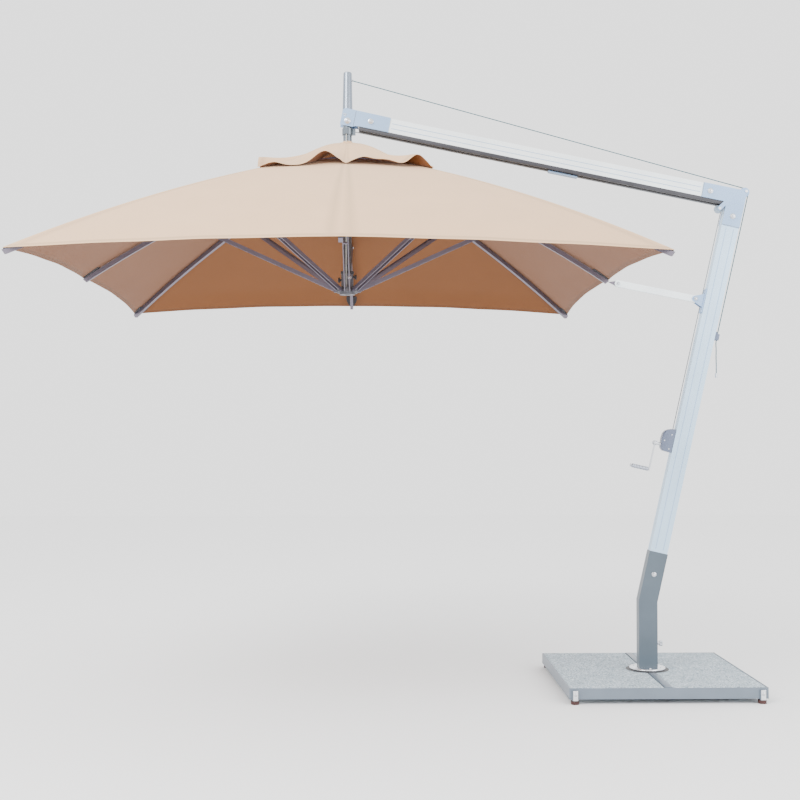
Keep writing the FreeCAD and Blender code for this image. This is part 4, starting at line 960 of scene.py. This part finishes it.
# ribbed band, clamp bolt and two wing knobs on the sliding hub
def makeHubTrim():
    shape = Shape()
    centre = Vector((poleX, 0, 0))

    def knurl(angle, along):
        return 1 + hubSizes["knurlDepth"] * math.cos(angle * hubSizes["knurls"])

    def lobed(angle, along):
        return 1 + hubSizes["lobeDepth"] * math.cos(angle * hubSizes["lobes"]) * (along > 0.009)

    shape.turned(centre + Vector((0, 0, hubSizes["bandLevel"])), upright,
                 [(0.0355, 0), (0.037, 0.0015), (0.037, 0.014), (0.0355, 0.0155)], 112, 0, knurl)
    shape.hexHead(centre + Vector((0.012, -0.0345, hubSizes["boltLevel"])), Vector((0.1, -1, 0)), 0.0085, 0.009, 1)
    for z, hand in hubSizes["knobs"]:
        stem = centre + Vector((hand * 0.033, 0.004, z))
        shape.turned(stem, Vector((hand, 0, 0)), hubSizes["knob"], 24, 0, lobed)
    trim = shape.build("hubTrim", [metals["dark"], metals["bolt"]])
    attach(trim, "slider")


makeHubTrim()

stay = {"foot": (0.286, 0, 2.197), "pin": (-0.158, 0, 2.284)}


# pin heads at the two ends of the stay arm
def makeStayTrim():
    foot = Vector(stay["foot"])
    pin = Vector(stay["pin"])
    shape = Shape()
    for hand in (-1, 1):
        shape.hexHead(pin + Vector((0, hand * 0.0168, 0)), Vector((0, hand, 0)), 0.0078, 0.006)
    trim = shape.build("stayPinHeads", [metals["bolt"]])
    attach(trim, "stay")
    heads = Shape()
    for hand in (-1, 1):
        heads.hexHead(foot + Vector((0, hand * 0.0238, 0)), Vector((0, hand, 0)), 0.0085, 0.0065)
    piece = heads.build("trolleyPinHeads", [metals["bolt"]])
    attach(piece, "trolley")


makeStayTrim()
print("mast fittings made")


# the line of a NURBS spline that follows a route's control points
def centreLine(name, points, perSpan):
    curve = bpy.data.curves.new(name, "CURVE")
    curve.dimensions = "3D"
    spline = curve.splines.new("NURBS")
    spline.points.add(len(points) - 1)
    for slot, p in zip(spline.points, points):
        slot.co = (*p, 1)
    spline.order_u = 3
    spline.use_endpoint_u = True
    spline.resolution_u = perSpan
    obj = bpy.data.objects.new(name, curve)
    bpy.context.scene.collection.objects.link(obj)
    bpy.context.view_layer.update()
    mesh = bpy.data.meshes.new_from_object(obj.evaluated_get(bpy.context.evaluated_depsgraph_get()))
    line = [v.co.copy() for v in mesh.vertices]
    bpy.data.meshes.remove(mesh)
    bpy.data.objects.remove(obj)
    return line


# the same line with points an even distance apart
def evenly(line, step):
    lengths = [0.0]
    for a, b in zip(line, line[1:]):
        lengths.append(lengths[-1] + (b - a).length)
    total = lengths[-1]
    count = max(2, int(total / step))
    result = []
    i = 0
    for k in range(count + 1):
        want = total * k / count
        while i < len(lengths) - 2 and lengths[i + 1] < want:
            i += 1
        span = lengths[i + 1] - lengths[i]
        result.append(line[i].lerp(line[i + 1], (want - lengths[i]) / span if span else 0))
    return result, total


# laid strands wound round a line, closed at both ends
def twistedRope(name, line, radius, strands, pitch, material):
    vertices = []
    faces = []
    sides = 7
    strandRadius = radius * (0.52 if strands == 3 else 0.4)
    offset = radius - strandRadius
    side = Vector((0, 1, 0))
    walked = 0.0
    frames = []
    for i, p in enumerate(line):
        ahead = line[min(i + 1, len(line) - 1)] - line[max(i - 1, 0)]
        direction = ahead.normalized()
        side = (side - direction * side.dot(direction)).normalized()
        if i:
            walked += (p - line[i - 1]).length
        frames.append((p, side.copy(), direction.cross(side), walked))
    for s in range(strands):
        base = len(vertices)
        for p, u, v, distance in frames:
            turn = 2 * math.pi * (distance / pitch + s / strands)
            centre = p + (u * math.cos(turn) + v * math.sin(turn)) * offset
            for k in range(sides):
                a = 2 * math.pi * k / sides
                vertices.append(centre + (u * math.cos(a) + v * math.sin(a)) * strandRadius)
        for i in range(len(frames) - 1):
            for k in range(sides):
                a = base + i * sides + k
                b = base + i * sides + (k + 1) % sides
                faces.append((a, b, b + sides, a + sides))
        faces.append(tuple(base + k for k in reversed(range(sides))))
        last = base + (len(frames) - 1) * sides
        faces.append(tuple(last + k for k in range(sides)))
    return makeObject(name, vertices, faces, [material])


# where two lines in the plane of the mast meet
def crossing(a, directionA, b, directionB):
    turn = directionA.x * directionB.z - directionA.z * directionB.x
    step = ((b.x - a.x) * directionB.z - (b.z - a.z) * directionB.x) / turn
    return a + directionA * step


ropes = {"tiltRadius": 0.003, "cableRadius": 0.0025, "rearWheel": 0.022, "cableOut": 0.0152, "cableDrop": 0.03,
         "rearAxle": (0.040, 0.046), "cleat": -0.81, "tailTop": 0.068, "step": 0.0045,
         "ropePitch": 0.026, "cablePitch": 0.034,
         "tailHang": ((0.002, -0.002, -0.044), (0.001, 0, -0.088), (0.003, 0.002, -0.136), (0.002, 0.001, -0.18))}


def nearCorner(corner, towards, gap):
    return corner + (towards - corner).normalized() * gap


# from the pole head over the rear pulley to the cleat
def makeTiltRope():
    start = Vector((poleX + poleHead["ropeOut"], 0, poleHead["eyeLevel"]))
    axle = mastPoint(*ropes["rearAxle"])
    radius = ropes["rearWheel"]
    offset = axle - start
    angle = math.atan2(offset.z, offset.x) + math.asin(radius / offset.length)
    direction = Vector((math.cos(angle), 0, math.sin(angle)))
    corner = crossing(start, direction, axle + outOfMast * radius, alongMast * -1)
    end = mastPoint(ropes["cleat"], ropes["rearAxle"][1] + radius)
    gap = 12 * ropes["tiltRadius"]
    points = [start, nearCorner(corner, start, gap), corner, nearCorner(corner, end, gap), end]
    line, length = evenly(centreLine("tiltRopeLine", points, 40), ropes["step"])
    rope = twistedRope("tiltRopeLaid", line, ropes["tiltRadius"], 3, ropes["ropePitch"], metals["rope"])
    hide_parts("tilt_rope")
    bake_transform(rope)


makeTiltRope()


# the free end below the cleat
def makeRopeTail():
    top = mastPoint(ropes["cleat"], ropes["tailTop"])
    low = mastPoint(-0.84, ropes["tailTop"])
    points = [top, low] + [low + Vector(offset) for offset in ropes["tailHang"]]
    line, length = evenly(centreLine("ropeTailLine", points, 30), 0.003)
    rope = twistedRope("ropeTailLaid", line, ropes["tiltRadius"], 3, ropes["ropePitch"], metals["rope"])
    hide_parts("rope_tail")
    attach(rope, "mast")


makeRopeTail()


# from the drum up the mast, over the inner pulley and under the boom to the fairlead
def makeWinchCable():
    start = winchPoint(0.009, ropes["cableOut"])
    under = boomPoint(-0.3, -0.04 - ropes["cableDrop"])
    corner = crossing(start, alongMast, under, alongBoom)
    end = crossing(under, alongBoom, Vector((poleX + 0.047, 0, 0)), upright)
    gap = 12 * ropes["cableRadius"]
    points = [start, nearCorner(corner, start, gap), corner, nearCorner(corner, end, gap), end]
    line, length = evenly(centreLine("winchCableLine", points, 40), ropes["step"])
    cable = twistedRope("winchCableLaid", line, ropes["cableRadius"], 6, ropes["cablePitch"], metals["wire"])
    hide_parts("winch_cable")
    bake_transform(cable)
    return end


cableEnd = makeWinchCable()


# the cable's last run, down the pole from the fairlead to the lower hub
def makeHubCable():
    top = Vector((poleX - 0.006, -0.0385, cableEnd.z - 0.018))
    low = Vector((poleX - 0.006, -0.0385, 2.254))
    line, _ = evenly([top, low], 0.004)
    cable = twistedRope("hubCableLaid", line, ropes["cableRadius"], 6, ropes["cablePitch"], metals["cord"])
    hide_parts("hub_cable")
    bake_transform(cable)


makeHubCable()
print("ropes made")

studio = {"floor": (0.95, 0.95, 0.95), "sky": 2.1, "camera": (-1.566, -6.891, 1.43), "lens": 54.45,
          "pitch": 0.027, "yaw": -0.023, "sensor": 36, "clipEnd": 100, "reach": 14.0, "cells": 8,
          "key": {"place": (-5.5, -5.0, 7.0), "target": (-0.8, 0, 1.6), "size": 4.0, "power": 700},
          "fill": {"place": (4.5, -6.0, 3.5), "target": (0.2, 0, 1.4), "size": 4.0, "power": 260}}


def makeFloor():
    reach, cells = studio["reach"], studio["cells"]
    wide = cells + 1
    vertices = [(-reach + 2 * reach * i / cells, -reach + 2 * reach * j / cells, 0)
                for i in range(wide) for j in range(wide)]
    faces = [(i * wide + j, (i + 1) * wide + j, (i + 1) * wide + j + 1, i * wide + j + 1)
             for i in range(cells) for j in range(cells)]
    material = newMaterial("paleFloor", studio["floor"], 0.0, 0.9)[0]
    floor = makeObject("paleFloorSheet", vertices, faces, [material])


makeFloor()

world = bpy.data.worlds.new("studioSky")
bpy.context.scene.world = world
world.use_nodes = True
world.node_tree.nodes["Background"].inputs["Color"].default_value = (1, 1, 1, 1)
world.node_tree.nodes["Background"].inputs["Strength"].default_value = studio["sky"]


def addLight(name, place, target, size, power):
    light = bpy.data.lights.new(name, "AREA")
    light.energy = power
    light.size = size
    obj = bpy.data.objects.new(name, light)
    obj.location = place
    obj.rotation_euler = (Vector(target) - Vector(place)).to_track_quat("-Z", "Y").to_euler()
    bpy.context.scene.collection.objects.link(obj)


addLight("keyPanel", **studio["key"])
addLight("fillPanel", **studio["fill"])

camera = bpy.data.cameras.new("studioCamera")
camera.lens = studio["lens"]
camera.sensor_width = studio["sensor"]
camera.clip_end = studio["clipEnd"]
cameraObject = bpy.data.objects.new("studioCamera", camera)
cameraObject.location = studio["camera"]
cameraObject.rotation_euler = (math.pi / 2 + studio["pitch"], 0, studio["yaw"])
bpy.context.scene.collection.objects.link(cameraObject)
bpy.context.scene.camera = cameraObject
print("studio made")
